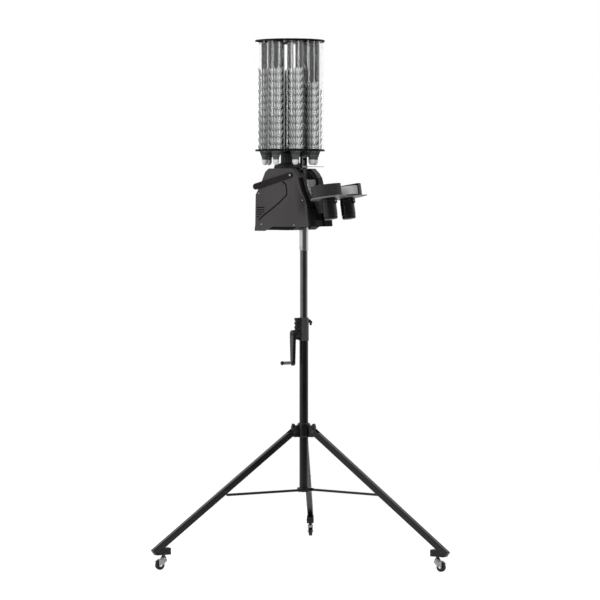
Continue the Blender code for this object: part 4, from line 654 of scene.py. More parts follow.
DECK_GREY = coated(
    "deck_coat", (0.15, 0.15, 0.155), 0.40, 1100, 0.12, 0.6, (0.34, 0.34, 0.34), 0.02,
    shine=0.4,
)
RAIL_COAT = coated(
    "satin_rail_coat", (0.36, 0.365, 0.37), 0.36, 1300, 0.10, 0.4, (0.55, 0.55, 0.55), 0.015,
    shine=0.5,
)
GRIP_GREY = coated(
    "grip_moulding", (0.11, 0.11, 0.115), 0.40, 1100, 0.10, 0.3, (0.3, 0.3, 0.3), 0.02,
    shine=0.4,
)
MOTOR_BLACK = coated(
    "motor_enamel", (0.007, 0.006, 0.0055), 0.27, 1200, 0.10, 0.4, (0.06, 0.054, 0.05), 0.015,
    shine=0.35,
)
RUBBER = coated(
    "caster_rubber", (0.016, 0.016, 0.017), 0.60, 700, 0.25, 0.6, (0.05, 0.05, 0.05), 0.10,
    shine=0.25,
)
CHROME = bright_metal("polished_chrome", (0.56, 0.56, 0.57), 0.20, (60.0, 60.0, 900.0), 0.03, 0.08)
UPPER_TUBE = bright_metal("black_chromed_tube", (0.17, 0.17, 0.175), 0.15, (60.0, 60.0, 900.0), 0.03, 0.08)
ZINC = bright_metal("zinc_plate", (0.36, 0.365, 0.37), 0.38, (300.0, 300.0, 900.0), 0.12, 0.15)
SCREW = bright_metal("bright_screw", (0.80, 0.80, 0.80), 0.34, (500.0, 500.0, 500.0), 0.08, 0.15)
FOAM = foam_tread("foam_tread")
CLEAR = clear_plastic("clear_acrylic_tube", (0.985, 0.99, 0.99), 0.0, 0.16)
CLEAR_CHUTE = clear_plastic("clear_chute", (0.93, 0.94, 0.95), 0.08, 1.0, 0.78)
FEATHER = feather("goose_feather")
LEATHER = leather_cover("cork_leather", (0.74, 0.73, 0.72))
BAND_GREEN = leather_cover("green_tape", (0.07, 0.22, 0.08))
THREAD = leather_cover("glued_thread", (0.40, 0.41, 0.38))
BOARD_GREEN = circuit_board("green_board")


# Shapes


def turned(profile, sides=48, closed=False):
    """A (radius, height) profile turned about z; an end on the axis is one point."""
    bm = bmesh.new()
    rings = []
    for radius, height in profile:
        if radius < 1e-6:
            rings.append([bm.verts.new((0, 0, height))])
            continue
        angles = [2 * pi * step / sides for step in range(sides)]
        rings.append([bm.verts.new((radius * cos(a), radius * sin(a), height)) for a in angles])
    pairs = list(zip(rings, rings[1:]))
    if closed:
        pairs.append((rings[-1], rings[0]))
    for upper, lower in pairs:
        for step in range(sides):
            other = (step + 1) % sides
            if len(upper) == 1:
                bm.faces.new((upper[0], lower[step], lower[other]))
            elif len(lower) == 1:
                bm.faces.new((upper[step], lower[0], upper[other]))
            else:
                bm.faces.new((upper[step], lower[step], lower[other], upper[other]))
    return bm


def eased(points, radius, steps=3, closed=False):
    """The line with each corner turned into an arc of about this radius."""
    result = []
    count = len(points)
    for index, corner in enumerate(points):
        if not closed and index in (0, count - 1):
            result.append(tuple(corner))
            continue
        here = Vector(corner)
        into = Vector(points[index - 1]) - here
        out = Vector(points[(index + 1) % count]) - here
        half = into.angle(out) / 2
        if half > 1.55:
            result.append(tuple(corner))
            continue
        back = min(radius / tan(half), into.length * 0.45, out.length * 0.45)
        reach = back * tan(half)
        into.normalize()
        out.normalize()
        centre = here + (into + out).normalized() * (reach / sin(half))
        first = here + into * back - centre
        last = here + out * back - centre
        begin = atan2(first.y, first.x)
        sweep = (atan2(last.y, last.x) - begin + pi) % (2 * pi) - pi
        for step in range(steps + 1):
            angle = begin + sweep * step / steps
            result.append((centre.x + reach * cos(angle), centre.y + reach * sin(angle)))
    return result


def arc(radius, start, end, centre=(0, 0), steps=12):
    angles = [start + (end - start) * step / steps for step in range(steps + 1)]
    return [(centre[0] + radius * cos(a), centre[1] + radius * sin(a)) for a in angles]


def circle(radius, centre=(0, 0), sides=32):
    return arc(radius, 0, 2 * pi * (1 - 1 / sides), centre, sides - 1)


def capsule(first, last, radius, end_radius=None, steps=16):
    """The outline round two circles joined by straight sides."""
    end_radius = radius if end_radius is None else end_radius
    heading = atan2(last[1] - first[1], last[0] - first[0])
    near = arc(radius, heading + pi / 2, heading + 3 * pi / 2, first, steps)
    far = arc(end_radius, heading - pi / 2, heading + pi / 2, last, steps)
    return near + far


def rectangle(low, high):
    return [(low[0], low[1]), (high[0], low[1]), (high[0], high[1]), (low[0], high[1])]


def new_object(name, data):
    item = bpy.data.objects.new(name, data)
    SCENE.collection.objects.link(item)
    return item


def finished_mesh(item):
    """The object's mesh after its modifiers; the object itself goes."""
    graph = bpy.context.evaluated_depsgraph_get()
    mesh = bpy.data.meshes.new_from_object(item.evaluated_get(graph))
    bpy.data.objects.remove(item, do_unlink=True)
    return mesh


def finished_solid(item):
    """The object's mesh after its modifiers, as a bmesh."""
    mesh = finished_mesh(item)
    bm = bmesh.new()
    bm.from_mesh(mesh)
    bpy.data.meshes.remove(mesh)
    return bm


def as_object(bm, name="loose"):
    mesh = bpy.data.meshes.new(name)
    bmesh.ops.recalc_face_normals(bm, faces=bm.faces)
    bm.to_mesh(mesh)
    bm.free()
    return new_object(name, mesh)


def plate(outlines, low, high, edge=0.0, rounds=2):
    """Flat outlines, the first one solid and the rest holes, pulled from low to high with rounded rims."""
    curve = bpy.data.curves.new("outline", "CURVE")
    curve.dimensions = "2D"
    curve.fill_mode = "BOTH"
    curve.extrude = (high - low) / 2 - edge
    curve.bevel_depth = edge
    curve.bevel_resolution = rounds - 1
    curve.offset = -edge
    for outline in outlines:
        spline = curve.splines.new("POLY")
        spline.points.add(len(outline) - 1)
        for point, (x, y) in zip(spline.points, outline):
            point.co = (x, y, 0, 1)
        spline.use_cyclic_u = True
    bm = finished_solid(new_object("outline", curve))
    bmesh.ops.remove_doubles(bm, verts=bm.verts, dist=MERGE_OUTLINE)
    bmesh.ops.translate(bm, vec=(0, 0, (low + high) / 2), verts=bm.verts)
    return bm


def block(low, high, edge=0.0, rounds=2):
    """A box between two corners with rounded edges."""
    bm = bmesh.new()
    bmesh.ops.create_cube(bm, size=1.0)
    bmesh.ops.scale(bm, vec=[b - a for a, b in zip(low, high)], verts=bm.verts)
    bmesh.ops.translate(bm, vec=[(a + b) / 2 for a, b in zip(low, high)], verts=bm.verts)
    if edge:
        bmesh.ops.bevel(bm, geom=bm.edges, offset=edge, segments=rounds, affect="EDGES", profile=0.5)
    return bm


def head_block(forward, side, up, edge=0.0):
    """A box given by its (low, high) ranges forward and up, and its two sides in any order."""
    left, right = sorted(side)
    return block((left, -forward[1], up[0]), (right, -forward[0], up[1]), edge)


def head_tool(outline, side):
    """A cutting tool: a flat (forward, up) outline pulled between two sides, given in any order."""
    left, right = sorted(side)
    bm = plate([outline], -right, -left)
    bm.transform(HEAD_SIDE)
    return bm


def lathed(profile, edge, steps, sides, closed=False):
    """A profile with its corners eased, turned about z."""
    return turned(eased(profile, edge, steps, closed=closed), sides, closed=closed)


def on_circle(radius, angle, *height):
    return (radius * cos(angle), radius * sin(angle), *height)


def tube(outer, inner, low, high, edge=0.0005, sides=64):
    return lathed([(outer, low), (outer, high), (inner, high), (inner, low)], edge, 2, sides, True)


def rod(radius, low, high, edge=0.0004, sides=32, steps=2):
    return lathed([(0, low), (radius, low), (radius, high), (0, high)], edge, steps, sides)


def bevelled(bm, edges, width, rounds):
    bmesh.ops.bevel(
        bm, geom=edges, offset=width, segments=rounds, affect="EDGES", profile=0.5, clamp_overlap=True
    )
    return bm


def soften(bm, width, rounds=2, limit=30):
    """Rounds the edges that are sharper than the limit."""
    sharp = [e for e in bm.edges if len(e.link_faces) == 2 and e.calc_face_angle(0.0) > radians(limit)]
    return bevelled(bm, sharp, width, rounds)


def thickened(bm, thickness, offset):
    """An open surface with a wall, whose faces already point the right way."""
    mesh = bpy.data.meshes.new("surface")
    bm.to_mesh(mesh)
    bm.free()
    item = new_object("surface", mesh)
    wall = item.modifiers.new("wall", "SOLIDIFY")
    wall.thickness = thickness
    wall.offset = offset
    wall.use_even_offset = True
    return finished_solid(item)


def solid_op(bm, operation, others):
    """The solid after a Boolean with each of the others."""
    base = as_object(bm)
    tools = [as_object(other) for other in others]
    for tool in tools:
        modifier = base.modifiers.new(operation, "BOOLEAN")
        modifier.operation = operation
        modifier.solver = "EXACT"
        modifier.object = tool
    result = finished_solid(base)
    for tool in tools:
        bpy.data.objects.remove(tool, do_unlink=True)
    return result


def cut(bm, *others):
    return solid_op(bm, "DIFFERENCE", others)


def fuse(bm, *others):
    return solid_op(bm, "UNION", others)


def keep_inside(bm, *others):
    return solid_op(bm, "INTERSECT", others)


def dissolved(bm, angle=1):
    bmesh.ops.dissolve_limit(bm, angle_limit=radians(angle), verts=bm.verts, edges=bm.edges)
    return bm


def cad_copy(name):
    """A CAD node's mesh where it stands, its loose triangles merged."""
    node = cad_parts[name]
    bm = bmesh.new()
    bm.from_mesh(node.data)
    bm.transform(node.matrix_world)
    bmesh.ops.remove_doubles(bm, verts=bm.verts, dist=MERGE_CAD)
    return bm


class Shape:
    """Collects solids, each with its finish, into one mesh in its place."""

    def __init__(self, place=LEVEL):
        self.place = place
        self.mesh = bmesh.new()
        self.finishes = []

    def add(self, bm, finish, turn=LEVEL, at=(0, 0, 0), keep_normals=False, second=None, where=None):
        """Takes one closed solid. Faces whose middle passes `where` get the second finish."""
        if not keep_normals:
            bmesh.ops.recalc_face_normals(bm, faces=bm.faces)
        chosen = {face.index for face in bm.faces if where and where(face.calc_center_median())}
        bm.transform(self.place @ Matrix.Translation(at) @ turn)
        for used in (finish, second):
            if used and used not in self.finishes:
                self.finishes.append(used)
        for face in bm.faces:
            face.material_index = self.finishes.index(second if face.index in chosen else finish)
        mesh = bpy.data.meshes.new("part")
        bm.to_mesh(mesh)
        bm.free()
        self.mesh.from_mesh(mesh)
        bpy.data.meshes.remove(mesh)
        return self


def settle(item, body, nodes=()):
    """The piece moves with its body and stands for its CAD nodes, which are hidden."""
    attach(item, body)
    if nodes:
        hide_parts(*nodes)
    return item


def with_flat_faces(mesh, sharp):
    """Smooth shading that leaves big flat faces flat and turns only over the rounded edges."""
    mesh.shade_smooth()
    mesh.set_sharp_from_angle(angle=radians(sharp))
    item = new_object("raw", mesh)
    weigh = item.modifiers.new("weigh", "WEIGHTED_NORMAL")
    weigh.keep_sharp = True
    weigh.weight = 80
    made = finished_mesh(item)
    bpy.data.meshes.remove(mesh)
    return made


def make_piece(name, shape, body, slot, *nodes, sharp=40):
    """Makes the collected solids one piece of the machine."""
    mesh = bpy.data.meshes.new(name + "_raw")
    shape.mesh.to_mesh(mesh)
    shape.mesh.free()
    for finish in shape.finishes:
        mesh.materials.append(finish)
    mesh = with_flat_faces(mesh, sharp)
    mesh.name = name
    return settle(new_object(name, mesh), body, nodes)


# Repeats, by Geometry Nodes


def new_geometry_tree(name, inputs):
    """An empty Geometry Nodes tree with a mesh and (name, kind, value) inputs."""
    tree = bpy.data.node_groups.new(name, "GeometryNodeTree")
    tree.is_modifier = True
    tree.interface.new_socket(name="Geometry", in_out="INPUT", socket_type="NodeSocketGeometry")
    for label, kind, value in inputs:
        socket = tree.interface.new_socket(name=label, in_out="INPUT", socket_type="NodeSocket" + kind)
        if value is not None:
            socket.default_value = value
    tree.interface.new_socket(name="Geometry", in_out="OUTPUT", socket_type="NodeSocketGeometry")
    return tree, tree.nodes.new("NodeGroupInput"), tree.nodes.new("NodeGroupOutput")


def with_real_copies(tree, copies, given, result):
    """Ends a tree: its copies become real geometry in the given finish."""
    real = add_node(tree, "GeometryNodeRealizeInstances", {"Geometry": copies.outputs[0]})
    inputs = {"Geometry": real.outputs[0], "Material": given.outputs["Finish"]}
    tree.links.new(add_node(tree, "GeometryNodeSetMaterial", inputs).outputs[0], result.inputs[0])
    return tree


def make_fasten_tree():
    """Puts one fastener on each point, its axis along the point's facing and turned by its spin."""
    inputs = [("Fastener", "Object", None), ("Finish", "Material", None), ("Size", "Float", 1.0)]
    tree, given, result = new_geometry_tree("fasten", inputs)
    facing = add_node(tree, "GeometryNodeInputNamedAttribute", {"Name": "facing"}, data_type="FLOAT_VECTOR")
    spin = add_node(tree, "GeometryNodeInputNamedAttribute", {"Name": "spin"}, data_type="FLOAT")
    align = add_node(tree, "FunctionNodeAlignEulerToVector", {"Vector": facing.outputs[0]}, axis="Z")
    turn = add_node(tree, "ShaderNodeCombineXYZ", {"Z": spin.outputs[0]})
    turning = {"Rotation": align.outputs[0], "Rotate By": turn.outputs[0]}
    both = add_node(tree, "FunctionNodeRotateEuler", turning, space="LOCAL")
    chosen = add_node(tree, "GeometryNodeObjectInfo", {"Object": given.outputs["Fastener"]})
    size = add_node(tree, "ShaderNodeCombineXYZ", {i: given.outputs["Size"] for i in range(3)})
    inputs = {
        "Points": given.outputs["Geometry"],
        "Instance": chosen.outputs["Geometry"],
        "Rotation": both.outputs[0],
        "Scale": size.outputs[0],
    }
    spread = add_node(tree, "GeometryNodeInstanceOnPoints", inputs)
    return with_real_copies(tree, spread, given, result)


def make_stack_tree():
    """Sets copies of one shape in a ring about z, and repeats the ring up a stack."""
    inputs = [
        ("Shape", "Object", None),
        ("Finish", "Material", None),
        ("Around", "Int", 16),
        ("Levels", "Int", 12),
        ("Pitch", "Float", 0.03),
    ]
    tree, given, result = new_geometry_tree("ring_stack", inputs)
    chosen = add_node(tree, "GeometryNodeObjectInfo", {"Object": given.outputs["Shape"]})
    spots = add_node(tree, "GeometryNodePoints", {"Count": given.outputs["Around"]})
    index = add_node(tree, "GeometryNodeInputIndex")
    share = math_node(tree, "DIVIDE", index.outputs[0], given.outputs["Around"])
    angle = math_node(tree, "MULTIPLY", share, 2 * pi)
    turn = add_node(tree, "ShaderNodeCombineXYZ", {"Z": angle})
    inputs = {"Points": spots.outputs[0], "Instance": chosen.outputs["Geometry"], "Rotation": turn.outputs[0]}
    ring = add_node(tree, "GeometryNodeInstanceOnPoints", inputs)
    rise = add_node(tree, "ShaderNodeCombineXYZ", {"Z": given.outputs["Pitch"]})
    inputs = {"Count": given.outputs["Levels"], "Offset": rise.outputs[0]}
    line = add_node(tree, "GeometryNodeMeshLine", inputs)
    inputs = {"Points": line.outputs[0], "Instance": ring.outputs[0]}
    stack = add_node(tree, "GeometryNodeInstanceOnPoints", inputs)
    return with_real_copies(tree, stack, given, result)


FASTEN = make_fasten_tree()
RING_STACK = make_stack_tree()


def grown(mesh, tree, values, place=LEVEL):
    """The mesh that a Geometry Nodes tree makes from this one, as a plain mesh in its place."""
    item = new_object("seed", mesh)
    modifier = item.modifiers.new("grow", "NODES")
    modifier.node_group = tree
    names = {s.name: s.identifier for s in tree.interface.items_tree if s.in_out == "INPUT"}
    for key, value in values.items():
        modifier[names[key]] = value
    made = finished_mesh(item)
    made.transform(place)
    return made


def keep_mesh(name, mesh, body, slot, *nodes, sharp=32):
    """Makes a grown mesh a piece of the machine."""
    mesh.name = name
    mesh.shade_smooth()
    mesh.set_sharp_from_angle(angle=radians(sharp))
    return settle(new_object(name, mesh), body, nodes)


def fasteners(name, head, places, finish, body, slot, size=1.0):
    """One fastener at each (point, facing) place, turned by a fixed sequence of spins.
    The size is its head's radius in millimetres."""
    mesh = bpy.data.meshes.new(name)
    mesh.from_pydata([tuple(point) for point, _ in places], [], [])
    mesh.attributes.new("facing", "FLOAT_VECTOR", "POINT")
    mesh.attributes.new("spin", "FLOAT", "POINT")
    for index, (_, way) in enumerate(places):
        mesh.attributes["facing"].data[index].vector = tuple(way)
        mesh.attributes["spin"].data[index].value = (index * 0.77) % 1.6
    made = grown(mesh, FASTEN, {"Fastener": head, "Finish": finish, "Size": size})
    return keep_mesh(name, made, body, slot)


TEMPLATES = []
UNIT = 0.001


def template(bm):
    """A hidden shape for a Geometry Nodes tree to copy."""
    item = as_object(bm, "template")
    TEMPLATES.append(item)
    return item


def cross_screw():
    """A pan-head screw of 1 mm radius with a cross recess. Its seat is at z = 0."""
    head = [(0, 0.62), (0.45, 0.60), (0.80, 0.45), (0.98, 0.20), (1.0, 0.0), (1.0, -0.3), (0, -0.3)]
    bm = turned([(r * UNIT, h * UNIT) for r, h in head], 16)
    arms = [
        block((-x * UNIT, -y * UNIT, 0.30 * UNIT), (x * UNIT, y * UNIT, 1.2 * UNIT))
        for x, y in ((0.62, 0.13), (0.13, 0.62))
    ]
    return cut(bm, *arms)


def hex_bolt():
    """A hexagon head of 1 mm radius with a chamfered crown over a washer."""
    washer = lathed([(0, -0.2), (1.35, -0.2), (1.35, 0.18), (0, 0.18)], 0.08, 2, 20)
    head = plate([circle(1.0, sides=6)], 0.15, 0.85, 0.07, 1)
    bmesh.ops.recalc_face_normals(head, faces=head.faces)
    mesh = bpy.data.meshes.new("head")
    head.to_mesh(mesh)
    head.free()
    washer.from_mesh(mesh)
    bpy.data.meshes.remove(mesh)
    bmesh.ops.scale(washer, vec=(UNIT, UNIT, UNIT), verts=washer.verts)
    return washer


def dome_rivet():
    """A domed rivet head of 1 mm radius."""
    profile = [(0, 0.55), (0.42, 0.49), (0.75, 0.32), (0.95, 0.10), (1.0, -0.25), (0, -0.25)]
    return turned([(r * UNIT, h * UNIT) for r, h in profile], 16)


CROSS_SCREW = template(cross_screw())
HEX_BOLT = template(hex_bolt())
DOME_RIVET = template(dome_rivet())


def screws(name, places, body, size):
    fasteners(name, CROSS_SCREW, places, SCREW, body, "zinc_steel", size)


def rivets(name, places, body, size, head=DOME_RIVET):
    fasteners(name, head, places, BLACK_STEEL, body, "black_steel", size)


def at_place(place, spot, way):
    """A fastener's point and facing, given inside a group's own frame."""
    return place @ Vector(spot), (place.to_3x3() @ Vector(way)).normalized()


# Stand


def build_mast():
    lower = Shape(MAST)
    lower.add(tube(MAST_LOWER_RADIUS, MAST_LOWER_RADIUS - MAST_WALL, MAST_BOTTOM, MAST_TOP), BLACK_STEEL)
    plug = rod(MAST_PLUG_RADIUS, MAST_BOTTOM + 0.004, MAST_BOTTOM + 0.001, 0.0006, 40, steps=3)
    lower.add(plug, BLACK_PLASTIC)
    make_piece("lower_tube", lower, "mast", "black_steel", "mast_lower_tube")

    upper = Shape(MAST)
    low, high = (corner.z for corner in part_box("mast_upper_tube"))
    upper.add(tube(MAST_UPPER_RADIUS, MAST_UPPER_RADIUS - MAST_WALL, low, high), UPPER_TUBE)
    make_piece("upper_tube", upper, "upper_mast", "black_steel", "mast_upper_tube")


def build_lower_collar():
    """The fixed ring that the braces are hinged to, with an ear and a pin for each."""
    low = BRACE_LEVEL - RING_HEIGHT / 2
    high = BRACE_LEVEL + RING_HEIGHT / 2
    bore = MAST_LOWER_RADIUS + SEAT
    ring = Shape(MAST)
    profile = [(RING_RADIUS, low), (RING_RADIUS, high), (bore, high), (bore, low)]
    ring.add(lathed(profile, 0.0016, 4, 64, True), BLACK_STEEL)
    inside = BRACE_SIDE + BRACE_THICKNESS + SLIDE_GAP
    outside = inside + BRACE_THICKNESS
    pin_start = BRACE_SIDE - 0.0005
    ear_line = capsule((0.018, BRACE_LEVEL), (BRACE_ROOT, BRACE_LEVEL), RING_HEIGHT * 0.4)
    places = []
    for leg_frame in LEG_FRAMES:
        turn = MAST.inverted() @ leg_frame
        ring.add(plate([ear_line], -outside, -inside, 0.0006), BLACK_STEEL, turn @ STAND_SIDE)
        hinge = turn @ Matrix.Translation((BRACE_ROOT, 0, BRACE_LEVEL)) @ ALONG_ACROSS
        ring.add(rod(BRACE_PIN_RADIUS, pin_start, outside, sides=20), BLACK_STEEL, hinge)
        places.append(at_place(leg_frame, (BRACE_ROOT, outside, BRACE_LEVEL), (0, 1, 0)))
        places.append(at_place(leg_frame, (BRACE_ROOT, pin_start, BRACE_LEVEL), (0, -1, 0)))
    make_piece("brace_ring", ring, "mast", "black_steel", "lower_collar")
    rivets("brace_ring_rivets", places, "mast", 4.2)


def build_leg_collar():
    """The moulding that the legs are hinged to, with a lug and a bolt for each."""
    low = PIVOT_HEIGHT - COLLAR_BELOW_PIVOT
    high = low + COLLAR_HEIGHT
    bore = MAST_LOWER_RADIUS + SLIDE_GAP
    collar = Shape(MAST)
    waist = COLLAR_RADIUS - 0.0018
    profile = [
        (COLLAR_RADIUS - 0.001, low),
        (COLLAR_RADIUS, low + 0.005),
        (waist, low + 0.007),
        (waist, high - 0.011),
        (COLLAR_RADIUS - 0.004, high - 0.004),
        (bore + 0.0035, high),
        (bore, high),
        (bore, low),
    ]
    collar.add(lathed(profile, 0.0020, 4, 72, True), GLOSS_PLASTIC)
    root = MAST_LOWER_RADIUS + 0.004
    reach = LEG_PIVOT_RADIUS + LUG_REACH
    outline = [
        (root, low + 0.0005),
        (0.046, low + 0.0005),
        (0.054, low + 0.009),
        (reach - 0.001, low + 0.034),
        (reach, low + 0.039),
        (reach - 0.0035, low + 0.053),
        (0.050, high - 0.0005),
        (0.0445, high - 0.003),
        (0.041, low + 0.047),
        (0.034, low + 0.049),
        (root, low + 0.052),
    ]
    outline = eased(outline, 0.0035, 5, closed=True)
    half = LEG_SIZE / 2
    places = []
    for leg_frame in LEG_FRAMES:
        turn = MAST.inverted() @ leg_frame
        lug = plate([outline], -LUG_THICKNESS / 2, LUG_THICKNESS / 2, 0.0018, 3)
        collar.add(lug, GLOSS_PLASTIC, turn @ STAND_SIDE)
        hinge = turn @ Matrix.Translation((LEG_PIVOT_RADIUS, 0, PIVOT_HEIGHT)) @ ALONG_ACROSS
        collar.add(rod(PIN_RADIUS, -half - 0.001, half + 0.001, sides=24), BLACK_STEEL, hinge)
        for way in (-1, 1):
            spot = (LEG_PIVOT_RADIUS, way * (half + 0.0004), PIVOT_HEIGHT)
            places.append(at_place(leg_frame, spot, (0, way, 0)))
    make_piece("leg_collar_moulding", collar, "collar", "black_plastic", "leg_collar")
    rivets("leg_collar_bolts", places, "collar", 4.6, HEX_BOLT)


def rounded_square(half, corner, steps):
    return eased(rectangle((-half, -half), (half, half)), corner, steps, closed=True)


def build_leg(number, leg_frame):
    """A square tube drawn along its own x axis, with a plugged tip and a caster block."""
    hinge = Matrix.Translation((LEG_PIVOT_RADIUS, 0, PIVOT_HEIGHT))
    pivot = leg_frame @ hinge @ Matrix.Rotation(LEG_INCLINE, 4, "Y")
    half = LEG_SIZE / 2
    inner = half - LEG_WALL
    square = rounded_square(half, LEG_CORNER, 5)
    bore = rounded_square(inner, LEG_CORNER - LEG_WALL, 3)
    body = plate([square, bore], -LEG_HEEL, LEG_LENGTH - 0.002, 0.0004)
    body.transform(ALONG_OUT)
    slot_half = inner - 0.001
    slot = block((-0.03, -slot_half, -0.03), (LEG_SLOT, slot_half, 0.03))
    leg = Shape(pivot)
    leg.add(cut(body, slot), BLACK_STEEL)
    rim = rounded_square(half - 0.0004, LEG_CORNER, 5)
    leg.add(plate([rim], LEG_LENGTH - LEG_CAP, LEG_LENGTH, 0.0012, 3), BLACK_PLASTIC, ALONG_OUT)
    plug = block((LEG_LENGTH - 0.02, -inner, -inner), (LEG_LENGTH - 0.003, inner, inner), 0.001)
    leg.add(plug, BLACK_PLASTIC)

    under_tip = LEG_AXIS_OVER_CASTER - half / cos(LEG_INCLINE)
    slope = tan(LEG_INCLINE)
    inner_end = STEM_OUT - BLOCK_REACH
    outer_end = STEM_OUT + (under_tip - BLOCK_BOTTOM) / slope - 0.002
    upper_end = STEM_OUT + (under_tip - BLOCK_TOP) / slope
    into_leg = half * 0.6
    wedge = [
        (inner_end, BLOCK_BOTTOM),
        (outer_end, BLOCK_BOTTOM),
        (outer_end, BLOCK_BOTTOM + into_leg),
        (upper_end, BLOCK_TOP + into_leg),
        (upper_end, BLOCK_TOP),
        (inner_end, BLOCK_TOP),
    ]
    foot = plate([eased(wedge, 0.0018, 3, closed=True)], -BLOCK_WIDTH / 2, BLOCK_WIDTH / 2, 0.0014, 3)
    leg.add(foot, BLACK_PLASTIC, pivot.inverted() @ leg_frame @ STAND_SIDE)
    make_piece(f"leg_tube_{number}", leg, f"leg_{number}", "black_steel", f"leg_{number}")

    places = []
    for way in (-1, 1):
        spot = (STEM_OUT - 0.018, way * BLOCK_WIDTH / 2, BLOCK_BOTTOM + 0.014)
        places.append(at_place(leg_frame, spot, (0, way, 0)))
        places.append(at_place(pivot, (BRACE_ALONG_LEG, way * half, 0), (0, way, 0)))
    rivets(f"leg_rivets_{number}", places, f"leg_{number}", 3.4)


def build_brace(number, leg_frame):
    """A flat bar from the ring's ear to its leg, riveted at the leg's end."""
    root = (BRACE_ROOT, BRACE_LEVEL)
    outer = BRACE_SIDE + BRACE_THICKNESS
    bar = capsule(root, (BRACE_OUT, BRACE_LEVEL), BRACE_HEIGHT / 2)
    hole = circle(BRACE_PIN_RADIUS + SEAT, root, 20)
    brace = Shape(leg_frame)
    brace.add(plate([bar, hole], -outer, -BRACE_SIDE, 0.0007), BLACK_STEEL, STAND_SIDE)
    make_piece(f"brace_bar_{number}", brace, f"brace_{number}", "black_steel", f"brace_{number}")
    places = [at_place(leg_frame, (BRACE_OUT, outer, BRACE_LEVEL), (0, 1, 0))]
    rivets(f"brace_rivet_{number}", places, f"brace_{number}", 3.7)


def build_caster(number, leg_frame):
    stem = leg_frame @ Matrix.Translation((STEM_OUT, 0, 0))
    axle = Matrix.Translation((WHEEL_TRAIL, 0, WHEEL_RADIUS)) @ ALONG_ACROSS
    build_caster_fork(number, stem, axle)
    build_caster_wheel(number, stem @ axle)


def build_caster_fork(number, stem, axle):
    """A stamped swivel fork with its ball race, axle nuts and a brake tab."""
    crown = 2 * WHEEL_RADIUS + FORK_CROWN_GAP
    head_top = BLOCK_BOTTOM - SEAT
    inside = WHEEL_WIDTH / 2 + FORK_SIDE_GAP
    outside = inside + FORK_SHEET
    fork = Shape(stem)
    race = [
        (0, head_top),
        (0.0050, head_top),
        (0.0062, head_top - 0.0030),
        (0.0100, head_top - 0.0078),
        (0.0124, head_top - 0.0112),
        (0.0124, crown + 0.0030),
        (0, crown + 0.0030),
    ]
    fork.add(lathed(race, 0.0008, 2, 40), ZINC)
    fork.add(rod(PIN_RADIUS, head_top - 0.002, head_top + 0.018, sides=20), ZINC)
    front = WHEEL_TRAIL + 0.007
    bridge = eased(rectangle((FORK_REAR, -outside), (front, outside)), 0.005, 5, closed=True)
    fork.add(plate([bridge], crown, crown + 0.0036, 0.0010, 3), ZINC)
    cheek = [
        (FORK_REAR, crown + 0.0026),
        (FORK_REAR, crown - 0.004),
        (WHEEL_TRAIL - 0.0065, WHEEL_RADIUS - 0.0025),
        (WHEEL_TRAIL - 0.003, WHEEL_RADIUS - 0.0062),
        (WHEEL_TRAIL + 0.004, WHEEL_RADIUS - 0.0062),
        (WHEEL_TRAIL + 0.0075, WHEEL_RADIUS - 0.001),
        (front, crown - 0.006),
        (front, crown + 0.0026),
    ]
    window = circle(0.0032, (WHEEL_TRAIL - 0.013, crown - 0.0015), 16)
    sheet = [eased(cheek, 0.003, 4, closed=True), window]
    for low, high in ((-outside, -inside), (inside, outside)):
        fork.add(plate(sheet, low, high, 0.0004), ZINC, STAND_SIDE)
    fork.add(rod(AXLE_RADIUS, -outside - 0.0014, outside + 0.0014, sides=20), SCREW, axle)
    for turn in (UPSIDE_DOWN, LEVEL):
        nut = plate([circle(AXLE_NUT_RADIUS, sides=6)], outside, outside + 0.0022, 0.0004)
        fork.add(nut, SCREW, axle @ turn)
    middle = (WHEEL_TRAIL, WHEEL_RADIUS)
    inner, outer = BRAKE_TAB_RADII
    start, end = BRAKE_TAB_ARC
    tab = arc(WHEEL_RADIUS + outer, end, start, middle, 14)
    tab += arc(WHEEL_RADIUS + inner, start, end, middle, 14)
    fork.add(plate([tab], -BRAKE_TAB_HALF_WIDTH, BRAKE_TAB_HALF_WIDTH, 0.0006), BLACK_PLASTIC, STAND_SIDE)
    name = f"caster_{number}_fork_stamping"
    make_piece(name, fork, f"caster_{number}", "zinc_steel", f"caster_fork_{number}")


def build_caster_wheel(number, axle):
    """A rubber tyre on its hub, each half a mirror of the other."""
    half = WHEEL_WIDTH / 2
    bed = WHEEL_RADIUS - 0.0065
    tyre = [
        (WHEEL_RADIUS, -half),
        (WHEEL_RADIUS, half),
        (WHEEL_RADIUS - 0.0055, half),
        (bed, half - 0.0012),
        (bed, 0.0012 - half),
        (WHEEL_RADIUS - 0.0055, -half),
    ]
    wheel = Shape(axle)
    wheel.add(lathed(tyre, 0.0026, 4, 56, True), RUBBER)
    face = [(0.0033, 0.0004), (0.0062, 0.0004), (0.0070, 0.0030), (WHEEL_RADIUS - 0.0062, 0.0034)]
    hub = [(radius, depth - half) for radius, depth in face]
    hub += [(radius, half - depth) for radius, depth in face[::-1]]
    wheel.add(lathed(hub, 0.0005, 2, 40, True), BLACK_PLASTIC)
    name = f"caster_{number}_tyre_and_hub"
    make_piece(name, wheel, f"wheel_{number}", "dark_rubber", f"caster_wheel_{number}")


def build_crank_unit():
    axis_height = HOUSING_BOTTOM + CRANK_AXIS_HEIGHT
    build_crank_housing(axis_height)
    crank_place = CRANK_SIDE @ Matrix.Translation((CRANK_BOSS_END + SEAT, 0, axis_height))
    build_crank_arm(crank_place)
    to_grip = Matrix.Translation((CRANK_ARM_THICKNESS + SEAT, 0, -CRANK_THROW))
    build_crank_grip(crank_place @ to_grip @ ALONG_OUT)


